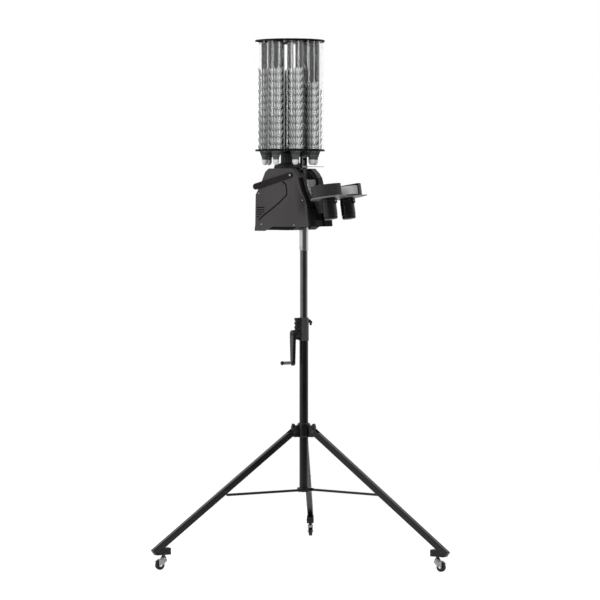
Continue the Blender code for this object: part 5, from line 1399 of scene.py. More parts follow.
def build_crank_housing(axis_height):
    """Clamp sleeve with a lip, the ribbed worm housing and the crank's boss."""
    housing = Shape(MAST)
    narrow = MAST_UPPER_RADIUS + SLIDE_GAP
    wide = MAST_LOWER_RADIUS + SEAT
    sleeve = [
        (wide, HOUSING_BOTTOM),
        (HOUSING_RADIUS + 0.0008, HOUSING_BOTTOM),
        (HOUSING_RADIUS + 0.0010, HOUSING_BOTTOM + 0.004),
        (HOUSING_RADIUS, HOUSING_BOTTOM + 0.0055),
        (HOUSING_RADIUS, HOUSING_TOP - 0.006),
        (HOUSING_RADIUS - 0.0008, HOUSING_TOP),
        (narrow, HOUSING_TOP),
        (narrow, MAST_TOP + SEAT),
        (wide, MAST_TOP + SEAT),
    ]
    housing.add(lathed(sleeve, 0.0008, 3, 72, True), GREY_CASTING)
    turn = MAST.inverted() @ CRANK_SIDE
    worm_top = HOUSING_TOP - 0.0004
    worm_bottom = worm_top - GEARBOX_HEIGHT
    pitch = GEARBOX_HEIGHT / GEARBOX_RIBS
    profile = [(0, worm_top)]
    for rib in range(GEARBOX_RIBS):
        top = worm_top - rib * pitch
        profile += [(GEARBOX_RADIUS - inset, top - pitch * share) for inset, share in GEARBOX_RIB_SHAPE]
    profile.append((0, worm_bottom))
    worm_place = turn @ Matrix.Translation((GEARBOX_OFFSET, 0, 0))
    housing.add(lathed(profile, 0.0009, 2, 48), GLOSS_PLASTIC, worm_place)
    boss = [
        (0, HOUSING_RADIUS - 0.004),
        (CRANK_BOSS_RADIUS - 0.001, HOUSING_RADIUS - 0.004),
        (CRANK_BOSS_RADIUS, CRANK_BOSS_END - 0.010),
        (CRANK_BOSS_RADIUS, CRANK_BOSS_END - 0.0012),
        (CRANK_BOSS_RADIUS - 0.0022, CRANK_BOSS_END),
        (0.0046, CRANK_BOSS_END),
        (0.0046, CRANK_BOSS_END - 0.016),
        (0, CRANK_BOSS_END - 0.016),
    ]
    boss_place = turn @ Matrix.Translation((0, 0, axis_height)) @ ALONG_OUT
    housing.add(lathed(boss, 0.0006, 2, 48), BLACK_PLASTIC, boss_place)
    case_corner = (0.0170, -0.0125, HOUSING_BOTTOM + 0.004)
    case = block(case_corner, (GEAR_CASE_END, 0.0125, worm_bottom + 0.003), 0.0016)
    housing.add(case, BLACK_PLASTIC, turn)
    make_piece("crank_gear_housing", housing, "mast", "black_plastic", "crank_housing")
    places = []
    for way in (-1, 1):
        spot = (GEAR_CASE_END, way * 0.0088, HOUSING_BOTTOM + 0.0075)
        places.append(at_place(CRANK_SIDE, spot, (1, 0, 0)))
    for height in (0.016, 0.082):
        spot = (0.004, -HOUSING_RADIUS - 0.0004, HOUSING_BOTTOM + height)
        places.append(at_place(CRANK_SIDE, spot, (0.19, -1, 0)))
    screws("crank_housing_screws", places, "mast", 2.3)


def build_crank_arm(place):
    """The arm with its shaft and a cap over it."""
    arm = Shape(place)
    outline = capsule((0, 0), (CRANK_THROW, 0), CRANK_ARM_WIDTH / 2, CRANK_ARM_TIP / 2, 20)
    arm.add(plate([outline], 0, CRANK_ARM_THICKNESS, 0.0026, 4), BLACK_STEEL, ALONG_OUT)
    arm.add(rod(PIN_RADIUS, -0.015, 0.002, sides=24), SCREW, ALONG_OUT)
    cap = [(0, 0.0032), (0.0062, 0.0030), (0.0078, -0.001), (0, -0.001)]
    cap = [(radius, CRANK_ARM_THICKNESS + rise) for radius, rise in cap]
    arm.add(lathed(cap, 0.0014, 4, 32), GLOSS_PLASTIC, ALONG_OUT)
    make_piece("crank_arm_casting", arm, "crank", "black_steel", "crank_arm")


def build_crank_grip(place):
    """A waisted grip with a glossy ball end on its pin."""
    end = GRIP_LENGTH
    profile = [
        (0, end),
        (GRIP_RADIUS * 0.8, end),
        (GRIP_RADIUS + 0.0021, end - 0.003),
        (GRIP_RADIUS + 0.0021, end - 0.0075),
        (GRIP_RADIUS, end - 0.0115),
        (GRIP_RADIUS + 0.0002, end - 0.024),
        (GRIP_RADIUS + 0.0004, 0.011),
        (GRIP_RADIUS * 0.8, 0.0035),
        (GRIP_RADIUS * 0.8, 0.0),
        (0.003, 0.0),
        (0.003, -0.0074),
        (0, -0.0074),
    ]
    grip = Shape(place)
    solid = lathed(profile, 0.0014, 4, 40)
    grip.add(solid, GRIP_GREY, second=GLOSS_PLASTIC, where=lambda p: p.z > end - 0.0118)
    make_piece("crank_grip_moulding", grip, "grip", "black_plastic", "crank_grip")


def build_lock_knob():
    """A wing screw opposite the crank, with a hooked wing."""
    height = HOUSING_BOTTOM + KNOB_HEIGHT
    place = MAST @ Matrix.Translation((0, 0, height)) @ Matrix.Rotation(CRANK_ANGLE + pi, 4, "Z")
    face = HOUSING_RADIUS + 0.002
    knob = Shape(place)
    knob.add(rod(0.0039, MAST_UPPER_RADIUS + 0.0015, face + 0.006, 0.0005, 24, steps=3), SCREW, ALONG_OUT)
    hub = [(0, face - 0.0004), (0.0074, face - 0.0004), (0.0068, face + 0.0075), (0, face + 0.0075)]
    knob.add(lathed(hub, 0.0012, 3, 32), GLOSS_PLASTIC, ALONG_OUT)
    hook = -KNOB_WING * 0.61
    wing_line = [
        (face, 0.0095),
        (face + 0.006, 0.0075),
        (face + 0.0155, -0.002),
        (face + 0.0118, hook),
        (face + 0.006, hook),
        (face + 0.0055, -0.006),
        (face, -0.006),
    ]
    wing = plate([eased(wing_line, 0.003, 4, closed=True)], -0.0045, 0.0045, 0.0016, 3)
    knob.add(wing, GLOSS_PLASTIC, STAND_SIDE)
    make_piece("wing_knob", knob, "lock_knob", "black_plastic", "mast_lock_knob")


# Head


def build_head_sleeve():
    sleeve = Shape(HEAD)
    bore = MAST_UPPER_RADIUS + SEAT
    profile = [
        (0, 0.0109),
        (SLEEVE_RADIUS, 0.0109),
        (SLEEVE_RADIUS, -SLEEVE_TO_HEAD),
        (bore, -SLEEVE_TO_HEAD),
        (bore, 0.0013),
        (0, 0.0013),
    ]
    sleeve.add(lathed(profile, 0.0009, 4, 96), CHROME)
    make_piece("chrome_sleeve", sleeve, "head", "chrome", "head_sleeve")


def cover_outline():
    return list(REAR_OUTLINE) + list(FRONT_OUTLINE) + list(LOWER_STEP)


def band_round(line, width):
    """An outline of this width round a line of points."""
    points = [Vector(point) for point in line]
    left, right = [], []
    for index, point in enumerate(points):
        before = points[max(index - 1, 0)]
        after = points[min(index + 1, len(points) - 1)]
        heading = (after - before).normalized()
        normal = Vector((-heading.y, heading.x)) * width / 2
        left.append(tuple(point + normal))
        right.append(tuple(point - normal))
    return left + right[::-1]


def in_black_parts_and_painted_shade(point):
    """True on the ribbed lower front and the black insert beside the opening, and on painted shade: the other
    front faces below the bezel's top and the floors of the side's recesses.
    """
    forward, side, up = -point.y, abs(point.x), point.z
    if abs(side - HEAD_HALF_WIDTH + RECESS_DEPTH) < 0.0002:
        return True
    if forward <= 0.0 or side > HEAD_HALF_WIDTH - 0.0021:
        return False
    return side < INSERT_SIDE or up < BEZEL_TOP


def vent_slots():
    """The outlines of the vents, one under the other."""
    radius = VENT_HEIGHT / 2
    for row, end in enumerate(VENT_ENDS):
        middle = VENT_TOP - row * VENT_PITCH
        yield capsule((VENT_START + radius, middle), (end - radius, middle), radius, steps=8)


def grille_grooves(sign):
    """Upright grooves in the lower front of a cover, the seam round them, and the seams of the dark face."""
    front = [(0.0718, GRILLE_TOP), (0.0806, 0.017), (FRONT_EDGE, 0.017), (FRONT_EDGE, GRILLE_TOP)]
    middles = [sign * (GRILLE_FIRST + groove * GRILLE_PITCH) for groove in range(GRILLE_GROOVES)]
    above = GRILLE_TOP + 0.0008
    below = GRILLE_TOP - GRILLE_HALF_SEAM
    seam = [(0.0712, above), (0.0810, 0.010), (FRONT_EDGE, 0.010), (FRONT_EDGE, above)]
    top = rectangle((0.066, below), (FRONT_EDGE, above))
    edge_line = band_round([(-0.0045, SHELL_TOP + 0.0002), *FRONT_OUTLINE[:6]], 0.0022)
    top_line = rectangle((-0.0045, SHELL_TOP - 0.001), (-0.0035, SHELL_TOP + 0.01))
    inner, grille, insert = sign * SEAM_INNER, sign * GRILLE_SIDE, sign * INSERT_SIDE
    return [
        *[head_tool(front, (at - GRILLE_HALF_GROOVE, at + GRILLE_HALF_GROOVE)) for at in middles],
        head_tool(seam, (grille - GRILLE_HALF_SEAM, grille + GRILLE_HALF_SEAM)),
        head_tool(top, (inner, sign * (GRILLE_SIDE + GRILLE_HALF_SEAM))),
        head_tool(edge_line, (insert - INSERT_HALF_SEAM, insert + INSERT_HALF_SEAM)),
        head_tool(top_line, (inner, sign * (INSERT_SIDE + INSERT_HALF_SEAM))),
    ]


def cover_shell(sign):
    """Half of the shell: an open surface with soft edges, thickened inward."""
    wide = sorted((sign * COVER_SEAM, sign * HEAD_HALF_WIDTH))
    shell = dissolved(plate([eased(cover_outline(), 0.004, 4, closed=True)], -wide[1], -wide[0]))
    open_faces = []
    for face in shell.faces:
        at_seam = abs(face.calc_center_median().z + sign * COVER_SEAM) < 0.00005
        low = all(vert.co.y < COVER_LOWER_EDGE + 0.0022 for vert in face.verts) and abs(face.normal.z) < 0.5
        if at_seam or low:
            open_faces.append(face)
    bmesh.ops.delete(shell, geom=open_faces, context="FACES")
    pairs = [(edge, edge.link_faces) for edge in shell.edges if len(edge.link_faces) == 2]
    rim = [edge for edge, (one, other) in pairs if (one.normal - other.normal).length > 0.9]
    bevelled(shell, rim, COVER_BEVEL, 4)
    shell.transform(HEAD_SIDE)
    bmesh.ops.recalc_face_normals(shell, faces=shell.faces)
    outward = max(shell.faces, key=lambda f: f.calc_area())
    if outward.normal.x * sign < 0:
        bmesh.ops.reverse_faces(shell, faces=shell.faces)
    return thickened(shell, SHELL_WALL, -1)


def build_side_cover(name, node, sign):
    """A cover with its half of the opening, and its groove, vents, screw seats and handle hole."""
    outside = (sign * (HEAD_HALF_WIDTH - RECESS_DEPTH), sign * (HEAD_HALF_WIDTH + 0.01))
    through = (sign * (HEAD_HALF_WIDTH - 0.01), sign * (HEAD_HALF_WIDTH + 0.01))
    opening = (-sign * 0.01, sign * OPENING_HALF_WIDTH)
    tools = [
        head_block((0.0, 0.12), opening, (-0.02, SHELL_TOP + 0.03)),
        head_tool(band_round(eased(GROOVE_LINE, 0.012, 4), GROOVE_WIDTH), outside),
        *[head_tool(slot, through) for slot in vent_slots()],
        *[head_tool(circle(radius, (forward, up), 24), outside) for forward, up, radius in COVER_SCREWS],
        *grille_grooves(sign),
        head_tool(circle(HANDLE_HOLE_RADIUS, HANDLE_PIVOT, 24), through),
    ]
    solid = cut(cover_shell(sign), *tools)
    solid.faces.index_update()
    cover = Shape(HEAD)
    # Painted shade: besides the black insert and grille, the other front faces below the bezel's top and the
    # floors of the recesses take the matt black.
    cover.add(solid, CHARCOAL, keep_normals=True, second=MATT_BLACK, where=in_black_parts_and_painted_shade)
    make_piece(name, cover, "head", "charcoal_plastic", node)
    seat = sign * (HEAD_HALF_WIDTH - RECESS_DEPTH + 0.0001)
    places = [at_place(HEAD, (seat, -forward, up), (sign, 0, 0)) for forward, up, _ in COVER_SCREWS]
    screws(name + "_screws", places, "head", 3.0)


def fluted_outline():
    steps = TOWER_FLUTES * 8
    for step in range(steps):
        angle = 2 * pi * step / steps
        depth = TOWER_FLUTE_DEPTH * (0.5 - 0.5 * cos(TOWER_FLUTES * angle)) ** 2
        yield on_circle(TOWER_RADIUS - depth, angle)


def build_pedestal():
    """The fluted tower under the magazine, on its foot, with a rim at its top."""
    base = SHELL_TOP + SEAT
    shoulder = base + PEDESTAL_STEP
    tower_top = BOTTOM_DISC_BASE - 0.004
    half_x, half_y = PEDESTAL_HALF_WIDTH, PEDESTAL_HALF_LENGTH
    foot = block((-half_x, -half_y, base), (half_x, half_y, shoulder))
    upper = [vert for vert in foot.verts if vert.co.z > shoulder - 0.001]
    bmesh.ops.scale(foot, vec=PEDESTAL_TAPER, verts=upper)
    soften(foot, 0.0042, 4)
    pedestal = Shape(MAGAZINE)
    pedestal.add(foot, GUARD_GREY)
    pedestal.add(plate([list(fluted_outline())], shoulder - 0.004, tower_top - 0.004, 0.0003), GUARD_GREY)
    rim = [
        (0.0066, tower_top - 0.006),
        (TOWER_RADIUS, tower_top - 0.006),
        (TOWER_RADIUS, tower_top - 0.002),
        (TOWER_RADIUS - 0.003, tower_top),
        (0.0066, tower_top),
    ]
    pedestal.add(lathed(rim, 0.0012, 3, 96, True), BLACK_PLASTIC)
    foot_ring = [
        (0.030, shoulder - 0.001),
        (TOWER_RADIUS + 0.0032, shoulder - 0.001),
        (TOWER_RADIUS + 0.0026, shoulder + 0.0016),
        (TOWER_RADIUS - 0.001, shoulder + 0.0042),
        (0.030, shoulder + 0.0042),
    ]
    pedestal.add(lathed(foot_ring, 0.001, 3, 96, True), BLACK_PLASTIC)
    make_piece("magazine_pedestal", pedestal, "head", "black_plastic", "top_pedestal")
    side, forward = PEDESTAL_SCREWS
    spots = [(x * side, y * forward, shoulder) for x in (-1, 1) for y in (-1, 1)]
    screws("pedestal_screws", [at_place(MAGAZINE, spot, (0, 0, 1)) for spot in spots], "head", 2.6)


def build_hood():
    """The glossy half-round hood over the channel, trimmed to the front of the shell."""
    outer = CHANNEL_RADIUS + CHANNEL_WALL
    front = -0.060
    middle = (0, -CHANNEL_FORWARD)
    horseshoe = [(outer, front)] + arc(outer, 0, pi, middle, 40) + [(-outer, front), (-CHANNEL_RADIUS, front)]
    horseshoe += arc(CHANNEL_RADIUS, pi, 0, middle, 40) + [(CHANNEL_RADIUS, front)]
    inside = [(forward - 0.0015, up) for forward, up in FRONT_OUTLINE]
    keep = head_tool([(-0.06, COVER_LOWER_EDGE), (-0.06, SHELL_TOP)] + inside, (-0.05, 0.05))
    hood = Shape(HEAD)
    hood.add(keep_inside(plate([horseshoe], HOOD_BOTTOM, HOOD_TOP), keep), GLOSS_PLASTIC)
    make_piece("channel_hood", hood, "head", "black_plastic", "front_hood")


def chute_stations():
    """Points (forward, up, turn) along the chute: straight down, then a quarter turn forward."""
    start_up = HOOD_BOTTOM - SEAT
    bend_up = start_up - CHUTE_STRAIGHT
    yield CHANNEL_FORWARD, start_up, 0.0
    yield CHANNEL_FORWARD, (start_up + bend_up) / 2, 0.0
    for step in range(CHUTE_STEPS + 1):
        turn = pi / 2 * step / CHUTE_STEPS
        yield CHANNEL_FORWARD + CHUTE_BEND * (1 - cos(turn)), bend_up - CHUTE_BEND * sin(turn), turn


def build_chute():
    """The clear half-round chute that turns a falling shuttle towards the wheels."""
    bm = bmesh.new()
    rows = []
    for forward, up, turn in chute_stations():
        row = []
        for step in range(CHUTE_SIDES + 1):
            angle = pi * (step / CHUTE_SIDES - 0.5)
            deep = CHANNEL_RADIUS * cos(angle)
            side = CHANNEL_RADIUS * sin(angle)
            row.append(bm.verts.new((side, -(forward - deep * cos(turn)), up - deep * sin(turn))))
        rows.append(row)
    for upper, lower in zip(rows, rows[1:]):
        for step in range(CHUTE_SIDES):
            bm.faces.new((upper[step], upper[step + 1], lower[step + 1], lower[step]))
    bm.faces.ensure_lookup_table()
    face = bm.faces[len(bm.faces) // 2]
    bm.normal_update()
    if face.normal.dot(-face.calc_center_median()) < 0:
        bmesh.ops.reverse_faces(bm, faces=bm.faces)
    chute = Shape(HEAD)
    chute.add(thickened(bm, CHANNEL_WALL, 1), CLEAR_CHUTE)
    make_piece("clear_chute", chute, "head", "clear_acrylic", "shuttle_chute")


def build_handle():
    """Two flat arms joined by a ribbed grip behind the head."""
    pivot_forward, pivot_up = HANDLE_PIVOT
    place = HEAD @ Matrix.Translation((0, -pivot_forward, pivot_up))
    grip_at = (HANDLE_GRIP[0] - pivot_forward, HANDLE_GRIP[1] - pivot_up)
    inner = HEAD_HALF_WIDTH + SLIDE_GAP
    outer = inner + HANDLE_THICKNESS
    handle = Shape(place)
    end = outer - 0.0006
    radius = HANDLE_GRIP_RADIUS
    profile = [(0, -end), (radius, -end)]
    for rib in range(HANDLE_RIBS):
        middle = HANDLE_RIB_FIRST + rib * HANDLE_RIB_PITCH
        profile += [(radius - inset, middle + along) for inset, along in HANDLE_RIB_SHAPE]
    profile += [(radius, end), (0, end)]
    grip_turn = Matrix.Translation((0, -grip_at[0], grip_at[1])) @ ALONG_OUT
    handle.add(lathed(profile, 0.0012, 2, 40), HANDLE_PLASTIC, grip_turn)
    line = capsule((0, 0), grip_at, HANDLE_ARM_HALF, radius + 0.001, 20)
    places = []
    for sign in (-1, 1):
        left, right = sorted((sign * inner, sign * outer))
        handle.add(plate([line], -right, -left, 0.0016, 4), HANDLE_PLASTIC, HEAD_SIDE)
        reach = sorted((sign * (HEAD_HALF_WIDTH - SHELL_WALL), sign * (inner + 0.001)))
        handle.add(rod(PIN_RADIUS, *reach, sides=24), BLACK_PLASTIC, ALONG_OUT)
        places.append(at_place(place, (sign * outer, 0, 0), (sign, 0, 0)))
    make_piece("carry_handle_moulding", handle, "handle", "black_plastic", "carry_handle")
    screws("handle_pivot_screws", places, "handle", 4.4)


def build_claw():
    """The claw's rails with a light front edge, their screws, and the drive block with its shaft."""
    low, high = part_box("claw_rails")
    spots = [(x * 0.0245, (low.y + high.y) / 2, low.z + 0.002) for x in (-1, 1)]
    screws("claw_rail_screws", [(spot, (0, 0, 1)) for spot in spots], "head", 2.0)
    solid = dissolved(cad_copy("claw_rails"), 0.5)
    solid.faces.index_update()
    front = low.y + 0.0004
    rails = Shape()
    rails.add(solid, MATT_BLACK, second=RAIL_COAT, where=lambda p: p.y < front)
    make_piece("claw_rail_strips", rails, "head", "zinc_steel", "claw_rails")
    low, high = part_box("claw_drive")
    middle = (low + high) / 2
    drive = Shape()
    drive.add(block(low, high, 0.0014, 3), BLACK_PLASTIC)
    shaft = rod(0.0035, high.z - 0.001, high.z, 0.0002, 24, steps=3)
    drive.add(shaft, SCREW, at=(middle.x, middle.y, -0.0002))
    make_piece("claw_drive_block", drive, "head", "black_plastic", "claw_drive")


# Launcher


def wheel_place(sign):
    return LAUNCHER @ Matrix.Translation((sign * LAUNCH_SPACING / 2, -LAUNCH_FORWARD, 0))


def build_launcher_plate():
    """The flat deck: a neck with two round lobes under the wheels."""
    low, high = PLATE_BASE, PLATE_BASE + PLATE_THICKNESS
    base = head_block(PLATE_NECK, (-NECK_HALF_WIDTH, NECK_HALF_WIDTH), (low, high))
    half = PLATE_BRIDGE_HALF_WIDTH
    parts = [head_block(PLATE_BRIDGE, (-half, half), (low, high))]
    holes = []
    for sign in (-1, 1):
        centre = (sign * LAUNCH_SPACING / 2, -LAUNCH_FORWARD)
        parts.append(plate([circle(PLATE_DISC_RADIUS, centre, 96)], low, high))
        rim = LAUNCH_FORWARD + PLATE_DISC_RADIUS
        lug_sides = [sign * side for side in PLATE_LUG_SIDES]
        parts.append(head_block((rim - 0.0225, rim + 0.0015), lug_sides, (low, high)))
        holes.append(plate([circle(MOTOR_BOSS_RADIUS + SEAT, centre, 40)], -0.02, 0.03))
    solid = dissolved(cut(fuse(base, *parts), *holes), 0.5)
    soften(solid, 0.0007, 2, 40)
    deck = Shape(LAUNCHER)
    deck.add(solid, DECK_GREY)
    make_piece("launcher_deck", deck, "launcher", "black_steel", "launcher_plate")
    spots = []
    for sign in (-1, 1):
        for angle in (45, 135, 225, 315):
            x, y = on_circle(DECK_SCREW_CIRCLE, radians(angle))
            spots.append((sign * LAUNCH_SPACING / 2 + x, -LAUNCH_FORWARD + y, high))
    spots += [(side, -forward, high) for forward in (0.012, 0.052) for side in (-0.017, 0.017)]
    places = [at_place(LAUNCHER, spot, (0, 0, 1)) for spot in spots]
    screws("launcher_deck_screws", places, "launcher", 2.5)


def build_tilt_bracket():
    """A folded bracket under the deck's neck, on the tilt pin."""
    top = PLATE_BASE - SEAT
    outer = NECK_HALF_WIDTH - 0.001
    inner = outer - 0.003
    bracket = Shape(LAUNCHER)
    bracket.add(head_block((-0.002, 0.070), (-outer, outer), (top - 0.0025, top), 0.0005), DECK_GREY)
    ear = arc(EAR_RADIUS, pi, 1.5 * pi, (0, 0), 10)
    ear += [(0.010, -0.012), (0.024, -0.045), (0.040, -0.045), (0.070, -0.004)]
    ear += [(0.070, top - 0.0003), (-EAR_RADIUS, top - 0.0003)]
    outlines = [eased(ear, 0.003, 3, closed=True), circle(0.0024, (0.031, -0.037), 16)]
    for sign in (-1, 1):
        left, right = sorted((sign * inner, sign * outer))
        bracket.add(plate(outlines, -right, -left, 0.0005), GREY_CASTING, HEAD_SIDE)
    bracket.add(rod(PIN_RADIUS, -TILT_PIN_END, TILT_PIN_END, sides=28), SCREW, ALONG_OUT)
    make_piece("tilt_bracket_folding", bracket, "launcher", "black_steel", "tilt_bracket")


def build_launch_wheel(name, sign):
    """A foam tyre on a spoked hub, with a nut on its shaft."""
    place = wheel_place(sign)
    low = LAUNCH_WHEEL_BASE
    high = low + LAUNCH_WHEEL_HEIGHT
    radius = LAUNCH_WHEEL_RADIUS
    wheel = Shape(place)
    tread = [(radius, low), (radius, high), (radius - 0.010, high), (radius - 0.010, low)]
    wheel.add(lathed(tread, 0.0024, 4, 96, True), FOAM)
    hub = [
        (0, high - 0.003),
        (0.0105, high - 0.003),
        (0.0115, high - 0.010),
        (radius - 0.016, high - 0.012),
        (radius - 0.0135, high - 0.003),
        (radius - 0.0098, high - 0.0015),
        (radius - 0.0098, low + 0.0012),
        (radius - 0.0135, low + 0.003),
        (radius - 0.016, low + 0.010),
        (0.0115, low + 0.008),
        (0.0105, low + 0.0004),
        (0.003, low + 0.0004),
        (0.003, 0.002),
        (0, 0.002),
    ]
    windows = []
    for window in range(HUB_WINDOWS):
        middle = on_circle(HUB_WINDOW_CIRCLE, radians(360 / HUB_WINDOWS * window))
        windows.append(plate([circle(HUB_WINDOW_RADIUS, middle, 24)], low - 0.01, high + 0.01))
    wheel.add(cut(lathed(hub, 0.0012, 3, 72), *windows), BLACK_PLASTIC)
    wheel.add(plate([circle(0.0055, sides=6)], high - 0.0035, high - 0.0002, 0.0005), SCREW)
    body = f"launch_wheel_{name}"
    make_piece(body + "_foam", wheel, body, "grey_tread", body)


def build_motor(name, sign):
    """A round motor with pressed end bells, cooling slots and a terminal box."""
    place = wheel_place(sign)
    top = PLATE_BASE - SEAT
    low = top - MOTOR_LENGTH
    boss_top = LAUNCH_WHEEL_BASE - 0.0006
    r = MOTOR_RADIUS
    profile = [
        (0, 0),
        (0.0033, 0),
        (0.0033, boss_top),
        (MOTOR_BOSS_RADIUS, boss_top),
        (MOTOR_BOSS_RADIUS, top),
        (r - 0.0025, top),
        (r - 0.0008, top - 0.0018),
        (r - 0.0008, top - 0.0105),
        (r - 0.0020, top - 0.0120),
        (r, top - 0.0135),
        (r, low + 0.0165),
        (r - 0.0020, low + 0.0150),
        (r - 0.0010, low + 0.0135),
        (r - 0.0010, low + 0.0052),
        (r - 0.0048, low + 0.0012),
        (0.0112, low + 0.0012),
        (0.0105, low),
        (0, low),
    ]
    slots = []
    for step in range(MOTOR_SLOTS):
        slot = block((r - 0.004, -0.0028, low + 0.0068), (r + 0.004, 0.0028, low + 0.0112))
        slot.transform(Matrix.Rotation(2 * pi * (step + 0.5) / MOTOR_SLOTS, 4, "Z"))
        slots.append(slot)
    motor = Shape(place)
    motor.add(cut(lathed(profile, 0.0007, 2, 72), *slots), MOTOR_BLACK)
    box_face = -r - 0.0068
    box = block((-0.0078, box_face, top - 0.024), (0.0078, -r + 0.004, top - 0.0022), 0.0014, 3)
    motor.add(box, BLACK_PLASTIC)
    gland = [(0, top - 0.0265), (0.0032, top - 0.0265), (0.0042, top - 0.0235), (0, top - 0.0235)]
    motor.add(lathed(gland, 0.0006, 3, 24), BLACK_PLASTIC, at=(0, -r - 0.0015, 0))
    make_piece(f"motor_{name}_can", motor, "launcher", "motor_black", f"motor_{name}")
    bell = [on_circle(BELL_SCREW_CIRCLE, angle, low + 0.0014) for angle in (0.5, 0.5 + pi)]
    places = [at_place(place, spot, (0, 0, -1)) for spot in bell]
    places += [at_place(place, (x, box_face, top - 0.013), (0, -1, 0)) for x in (-0.005, 0.005)]
    screws(f"motor_{name}_screws", places, "launcher", 2.0)


def build_guard(name, sign):
    """A half-round guard with a flat roof, open on the side of the other wheel."""
    place = wheel_place(sign)
    low = PLATE_BASE + PLATE_THICKNESS + SEAT
    high = low + GUARD_HEIGHT
    start = -pi / 2 if sign > 0 else pi / 2
    past = radians(1.5)
    body = plate([arc(GUARD_RADIUS, start - past, start + pi + past, (0, 0), 72)], low, high)
    dissolved(body, 0.2)
    roof_rim = [e for e in body.edges if all(v.co.z > high - 0.0001 for v in e.verts)]
    bevelled(body, roof_rim, 0.0026, 4)
    hollow = rod(GUARD_RADIUS - GUARD_WALL, low - 0.01, high - GUARD_ROOF, 0.0005, 96)
    guard = Shape(place)
    guard.add(cut(body, hollow), GUARD_GREY)
    make_piece(f"wheel_guard_{name}_moulding", guard, "launcher", "black_plastic", f"wheel_guard_{name}")
    spots = [on_circle(GUARD_SCREW_CIRCLE, start + pi * share, high) for share in (0.12, 0.5, 0.88)]
    places = [at_place(place, spot, (0, 0, 1)) for spot in spots]
    screws(f"wheel_guard_{name}_screws", places, "launcher", 2.2)


# Magazine


def column_places():
    """Each column's number and its middle."""
    for index in range(COLUMNS):
        yield index + 1, *on_circle(COLUMN_RADIUS, radians(-90) + 2 * pi * index / COLUMNS)


def column_holes(radius, sides):
    return [circle(radius, (x, y), sides) for _, x, y in column_places()]


def build_discs():
    """The two discs that hold the tubes, with a collar at each hole, and the screws and studs between."""
    disc_top = BOTTOM_DISC_BASE + DISC_THICKNESS
    top_face = TOP_DISC_BASE + DISC_THICKNESS
    over_neck = disc_top - CORK_BOTTOM - CORK_LENGTH
    lower_hole = CORK_RADIUS + (SKIRT_RADIUS - CORK_RADIUS) * over_neck / SKIRT_LENGTH + 2 * SEAT
    rim = circle(DISC_RADIUS, sides=144)
    bottom = Shape(MAGAZINE)
    lower_outlines = [rim] + column_holes(lower_hole, 48)
    bottom.add(plate(lower_outlines, BOTTOM_DISC_BASE, disc_top, 0.0009, 3), MATT_BLACK)
    hub = [
        (0, disc_top + 0.010),
        (HUB_RADIUS * 0.6, disc_top + 0.010),
        (HUB_RADIUS, disc_top + 0.004),
        (HUB_RADIUS, BOTTOM_DISC_BASE - 0.0035),
        (0.006, BOTTOM_DISC_BASE - 0.0035),
        (0.006, BOTTOM_DISC_BASE - 0.030),
        (0, BOTTOM_DISC_BASE - 0.030),
    ]
    bottom.add(lathed(hub, 0.001, 3, 56), BLACK_PLASTIC)
    top = Shape(MAGAZINE)
    upper_outlines = [rim] + column_holes(TUBE_RADIUS - TUBE_WALL, 64)
    top.add(plate(upper_outlines, TOP_DISC_BASE, top_face, 0.0014, 3), MATT_BLACK)
    collars = (
        (bottom, disc_top - 0.0002, disc_top + 0.0026),
        (top, TOP_DISC_BASE - 0.0030, TOP_DISC_BASE + 0.0002),
    )
    for _, x, y in column_places():
        for shape, low, high in collars:
            collar = tube(TUBE_RADIUS + TUBE_COLLAR, TUBE_RADIUS + 0.00025, low, high, 0.0005, 56)
            shape.add(collar, BLACK_PLASTIC, at=(x, y, 0))
    make_piece("magazine_lower_disc", bottom, "magazine", "black_plastic", "magazine_bottom_disc")
    make_piece("magazine_upper_disc", top, "magazine", "black_plastic", "magazine_top_disc")
    between = [radians(-90 + 22.5 + 45 * k) for k in range(COLUMNS)]
    places = [at_place(MAGAZINE, on_circle(STUD_CIRCLE, a, top_face - 0.0012), (0, 0, 1)) for a in between]
    places += [at_place(MAGAZINE, on_circle(STUD_CIRCLE, a, BOTTOM_DISC_BASE), (0, 0, -1)) for a in between]
    screws("magazine_disc_screws", places, "magazine", 1.8)
    studs = Shape(MAGAZINE)
    for angle in between:
        stud = rod(0.0028, TOP_DISC_BASE - 0.009, TOP_DISC_BASE + 0.001, 0.0006, 20)
        studs.add(stud, SCREW, at=on_circle(STUD_CIRCLE, angle, 0))
    make_piece("magazine_upper_studs", studs, "magazine", "zinc_steel")


def build_tubes():
    low = BOTTOM_DISC_BASE + DISC_THICKNESS + SEAT
    for number, x, y in column_places():
        clear = Shape(MAGAZINE)
        wall = tube(TUBE_RADIUS, TUBE_RADIUS - TUBE_WALL, low, low + TUBE_LENGTH, 0.0004, 72)
        clear.add(wall, CLEAR, at=(x, y, 0))
        make_piece(f"clear_tube_{number}", clear, "magazine", "clear_acrylic", f"magazine_tube_{number}")


def on_skirt(share):
    """The quills' distance from the axis and their height at this share of the skirt."""
    root = CORK_RADIUS - QUILL_ROOT_INSET
    spread = SKIRT_RADIUS - QUILL_TIP_INSET - CORK_RADIUS + QUILL_ROOT_INSET
    return root + spread * share, CORK_LENGTH + SKIRT_LENGTH * share


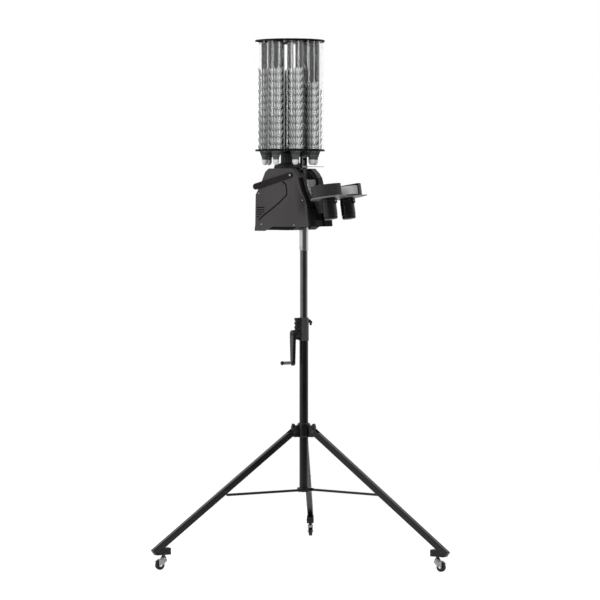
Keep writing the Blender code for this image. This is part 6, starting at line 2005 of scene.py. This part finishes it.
def feather_shape():
    """One vane of a shuttlecock's skirt, leaning like its neighbours so that they lap, on its quill."""
    bm = bmesh.new()
    uv = bm.loops.layers.uv.new("vane")
    values = {}

    def join(*corners):
        for loop in bm.faces.new(corners).loops:
            loop[uv].uv = values[loop.vert]

    layers = []
    for half_thick in (0.00012, -0.00012):
        rows = []
        for share, half_width in FEATHER_WIDTHS:
            radius, height = on_skirt(share)
            row = []
            for column in range(3):
                across = (column - 1) * half_width
                out = radius + across * sin(FEATHER_LEAN) - abs(column - 1) * 0.0004 + half_thick
                vert = bm.verts.new((out, across * cos(FEATHER_LEAN), height))
                values[vert] = (column / 2, share)
                row.append(vert)
            rows.append(row)
        layers.append(rows)
    front, back = layers
    for low, high, low_back, high_back in zip(front, front[1:], back, back[1:]):
        for column in (0, 1):
            join(low[column], low[column + 1], high[column + 1], high[column])
            join(high_back[column], high_back[column + 1], low_back[column + 1], low_back[column])
        for column in (0, 2):
            join(low[column], high[column], high_back[column], low_back[column])
    for end in (0, -1):
        for column in (0, 1):
            join(front[end][column], front[end][column + 1], back[end][column + 1], back[end][column])
    quill = []
    for share, size in QUILL_SIZES:
        radius, height = on_skirt(share)
        corners = [on_circle(size, angle, height) for angle in (0, pi / 2, pi, 3 * pi / 2)]
        ring = [bm.verts.new((radius + 0.0002 + x, y, z)) for x, y, z in corners]
        values.update((vert, (0.5, 0.0)) for vert in ring)
        quill.append(ring)
    for lower, upper in zip(quill, quill[1:]):
        for step in range(4):
            other = (step + 1) % 4
            join(lower[step], lower[other], upper[other], upper[step])
    join(*quill[0][::-1])
    join(*quill[-1])
    return bm


def cork_shape():
    nose = [(0, 0.0), (0.0052, 0.0008), (0.0090, 0.0034), (0.0117, 0.0078), (CORK_RADIUS, 0.0130)]
    edge = 0.0008
    top = [(CORK_RADIUS, CORK_LENGTH - edge), (CORK_RADIUS - edge, CORK_LENGTH), (0, CORK_LENGTH)]
    return turned(nose + top, 20)


def band_shape():
    """The tape round the top of the cork."""
    outer = CORK_RADIUS + 0.0004
    return tube(outer, CORK_RADIUS - 0.0002, CORK_LENGTH - 0.0032, CORK_LENGTH - 0.0002, 0.0001, 20)


def thread_shape(share):
    """One glued thread round the quills."""
    radius, height = on_skirt(share)
    radius += 0.0012
    half = 0.0005
    way_round = ((0, -half), (half, 0), (0, half), (-half, 0))
    return turned([(radius + out, height + up) for out, up in way_round], 24, closed=True)


def build_stacks():
    """Nested feather shuttlecocks, as many in each tube as the count says."""
    parts = [
        ("feathers", template(feather_shape()), FEATHER, FEATHERS),
        ("corks", template(cork_shape()), LEATHER, 1),
        ("bands", template(band_shape()), BAND_GREEN, 1),
        ("threads_low", template(thread_shape(0.12)), THREAD, 1),
        ("threads_high", template(thread_shape(0.24)), THREAD, 1),
    ]
    for (number, x, y), levels in zip(column_places(), SHUTTLE_COUNTS):
        place = MAGAZINE @ Matrix.Translation((x, y, CORK_BOTTOM))
        for label, shape, finish, around in parts:
            values = {"Shape": shape, "Finish": finish, "Around": around}
            values |= {"Levels": levels, "Pitch": SHUTTLE_PITCH}
            made = grown(bpy.data.meshes.new("seed"), RING_STACK, values, place)
            nodes = (f"shuttle_stack_{number}",) if label == "feathers" else ()
            keep_mesh(f"shuttle_{label}_{number}", made, "magazine", "shuttle_white", *nodes, sharp=50)


def build_tray():
    """The CAD tray without the low end of its mast boss, which the covers' line hides."""
    radius, low, high = 0.031, HEAD_HEIGHT - 0.02, HEAD_HEIGHT + 0.0135
    low_end = turned([(0, low), (radius, low), (radius, high), (0, high)], 48)
    low_end.transform(MAST)
    tray = Shape()
    tray.add(dissolved(cut(cad_copy("base_tray"), low_end), 0.5), MATT_BLACK)
    make_piece("tray_moulding", tray, "head", "black_plastic", "base_tray")


def finish_cad_nodes():
    """CAD nodes whose shape is right keep it and get their finish."""
    finishes = {
        "battery_pack": BLACK_PLASTIC,
        "control_board": BOARD_GREEN,
        "magazine_motor": ZINC,
        "claw_fork": RAIL_COAT,
    }
    for name, finish in finishes.items():
        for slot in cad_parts[name].material_slots:
            slot.material = finish


def build_machine():
    build_mast()
    build_lower_collar()
    build_leg_collar()
    for number, leg_frame in enumerate(LEG_FRAMES, 1):
        build_leg(number, leg_frame)
        build_brace(number, leg_frame)
        build_caster(number, leg_frame)
    build_crank_unit()
    build_lock_knob()
    build_head_sleeve()
    build_side_cover("side_cover_left_shell", "side_cover_left", -1)
    build_side_cover("side_cover_right_shell", "side_cover_right", 1)
    build_tray()
    build_pedestal()
    build_hood()
    build_chute()
    build_handle()
    build_claw()
    build_launcher_plate()
    build_tilt_bracket()
    for name, sign in (("left", -1), ("right", 1)):
        build_launch_wheel(name, sign)
        build_motor(name, sign)
        build_guard(name, sign)
    build_discs()
    build_tubes()
    build_stacks()
    finish_cad_nodes()
    for item in TEMPLATES:
        bpy.data.objects.remove(item, do_unlink=True)


# Stage


def build_camera():
    """The photograph's view: a long lens on the side of the crank, level and shifted."""
    data = bpy.data.cameras.new("camera")
    data.sensor_width = SENSOR
    data.lens = LENS
    middle = IMAGE_SIZE / 2
    data.shift_x = (middle - IMAGE_CENTRE[0]) / IMAGE_SIZE
    data.shift_y = (IMAGE_CENTRE[1] - middle) / IMAGE_SIZE
    data.clip_end = 60
    camera = new_object("camera", data)
    x, y = (CAMERA_DISTANCE * part for part in CAMERA_WAY)
    camera.location = (x, MAST_Y + y, CAMERA_HEIGHT)
    camera.rotation_euler = (pi / 2, 0, CAMERA_TURN)
    SCENE.camera = camera


def seen_directly(tree):
    """1 for camera, glossy and transmission rays, 0 for the rest."""
    path = add_node(tree, "ShaderNodeLightPath").outputs
    either = math_node(tree, "MAXIMUM", path["Is Camera Ray"], path["Is Glossy Ray"])
    return math_node(tree, "MAXIMUM", either, path["Is Transmission Ray"])


def build_world():
    """A white backdrop, with a dim room behind the camera that shiny faces turned to it reflect."""
    world = bpy.data.worlds.new("studio")
    world.use_nodes = True
    SCENE.world = world
    tree = world.node_tree
    back = tree.nodes["Background"]
    back.inputs["Color"].default_value = (1, 1, 1, 1)
    path = add_node(tree, "ShaderNodeLightPath").outputs
    towards = add_node(tree, "ShaderNodeTexCoord").outputs["Generated"]
    room = vector_math(tree, "DOT_PRODUCT", towards, DIM_ROOM, "Value")
    shiny = ramp_between(tree, room, 0.30, 0.84, 0.95, 0.10)
    clear = math_node(tree, "MAXIMUM", path["Is Camera Ray"], path["Is Transmission Ray"])
    other = add_node(tree, "ShaderNodeMix", {0: path["Is Glossy Ray"], 2: DIFFUSE_LEVEL, 3: shiny})
    level = add_node(tree, "ShaderNodeMix", {0: clear, 2: other.outputs[0], 3: 1.0})
    tree.links.new(level.outputs[0], back.inputs["Strength"])


def build_floor():
    """A white floor whose own light hides the horizon but lets the shadow show."""
    mesh = bpy.data.meshes.new("floor")
    bm = bmesh.new()
    bmesh.ops.create_circle(bm, cap_ends=True, segments=96, radius=FLOOR_RADIUS)
    bm.to_mesh(mesh)
    bm.free()
    floor = new_object("floor", mesh)
    floor.location = (0, 0, -FLOOR_DROP)
    material = bpy.data.materials.new("white_floor")
    material.use_nodes = True
    tree = material.node_tree
    tree.nodes.remove(tree.nodes["Principled BSDF"])
    paper = add_node(tree, "ShaderNodeBsdfDiffuse", {"Color": (0.9, 0.9, 0.9, 1)})
    glow = add_node(tree, "ShaderNodeEmission", {"Color": (1, 1, 1, 1), "Strength": FLOOR_GLOW})
    share = ramp_between(tree, seen_directly(tree), 0, 1, 0.0, FLOOR_GLOW_SHARE)
    mixed = add_node(tree, "ShaderNodeMixShader", {0: share, 1: paper.outputs[0], 2: glow.outputs[0]})
    tree.links.new(mixed.outputs[0], tree.nodes["Material Output"].inputs["Surface"])
    mesh.materials.append(material)
    return floor


def let_floor_follow(floor):
    """The floor stays under the leg's end when the tripod folds."""
    mark = new_object("leg_end_mark", None)
    mark.location = (0, MAST_Y - LEG_END_REACH, 0)
    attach(mark, "leg_1")
    follow = floor.constraints.new("COPY_LOCATION")
    follow.target = mark
    follow.use_x = follow.use_y = False
    follow.use_z = True


def build_lamps():
    """Three soft boxes that light the machine but don't show in what is shiny."""
    for name, spot, wide, tall, watts in LAMPS:
        data = bpy.data.lights.new(name, "AREA")
        data.shape = "RECTANGLE"
        data.size = wide
        data.size_y = tall
        data.energy = watts
        lamp = new_object(name, data)
        lamp.location = spot
        lamp.rotation_euler = (LAMP_AIM - Vector(spot)).to_track_quat("-Z", "Y").to_euler()
        lamp.visible_glossy = False


build_machine()
build_camera()
build_world()
build_lamps()
let_floor_follow(build_floor())
SCENE.view_settings.view_transform = "Standard"
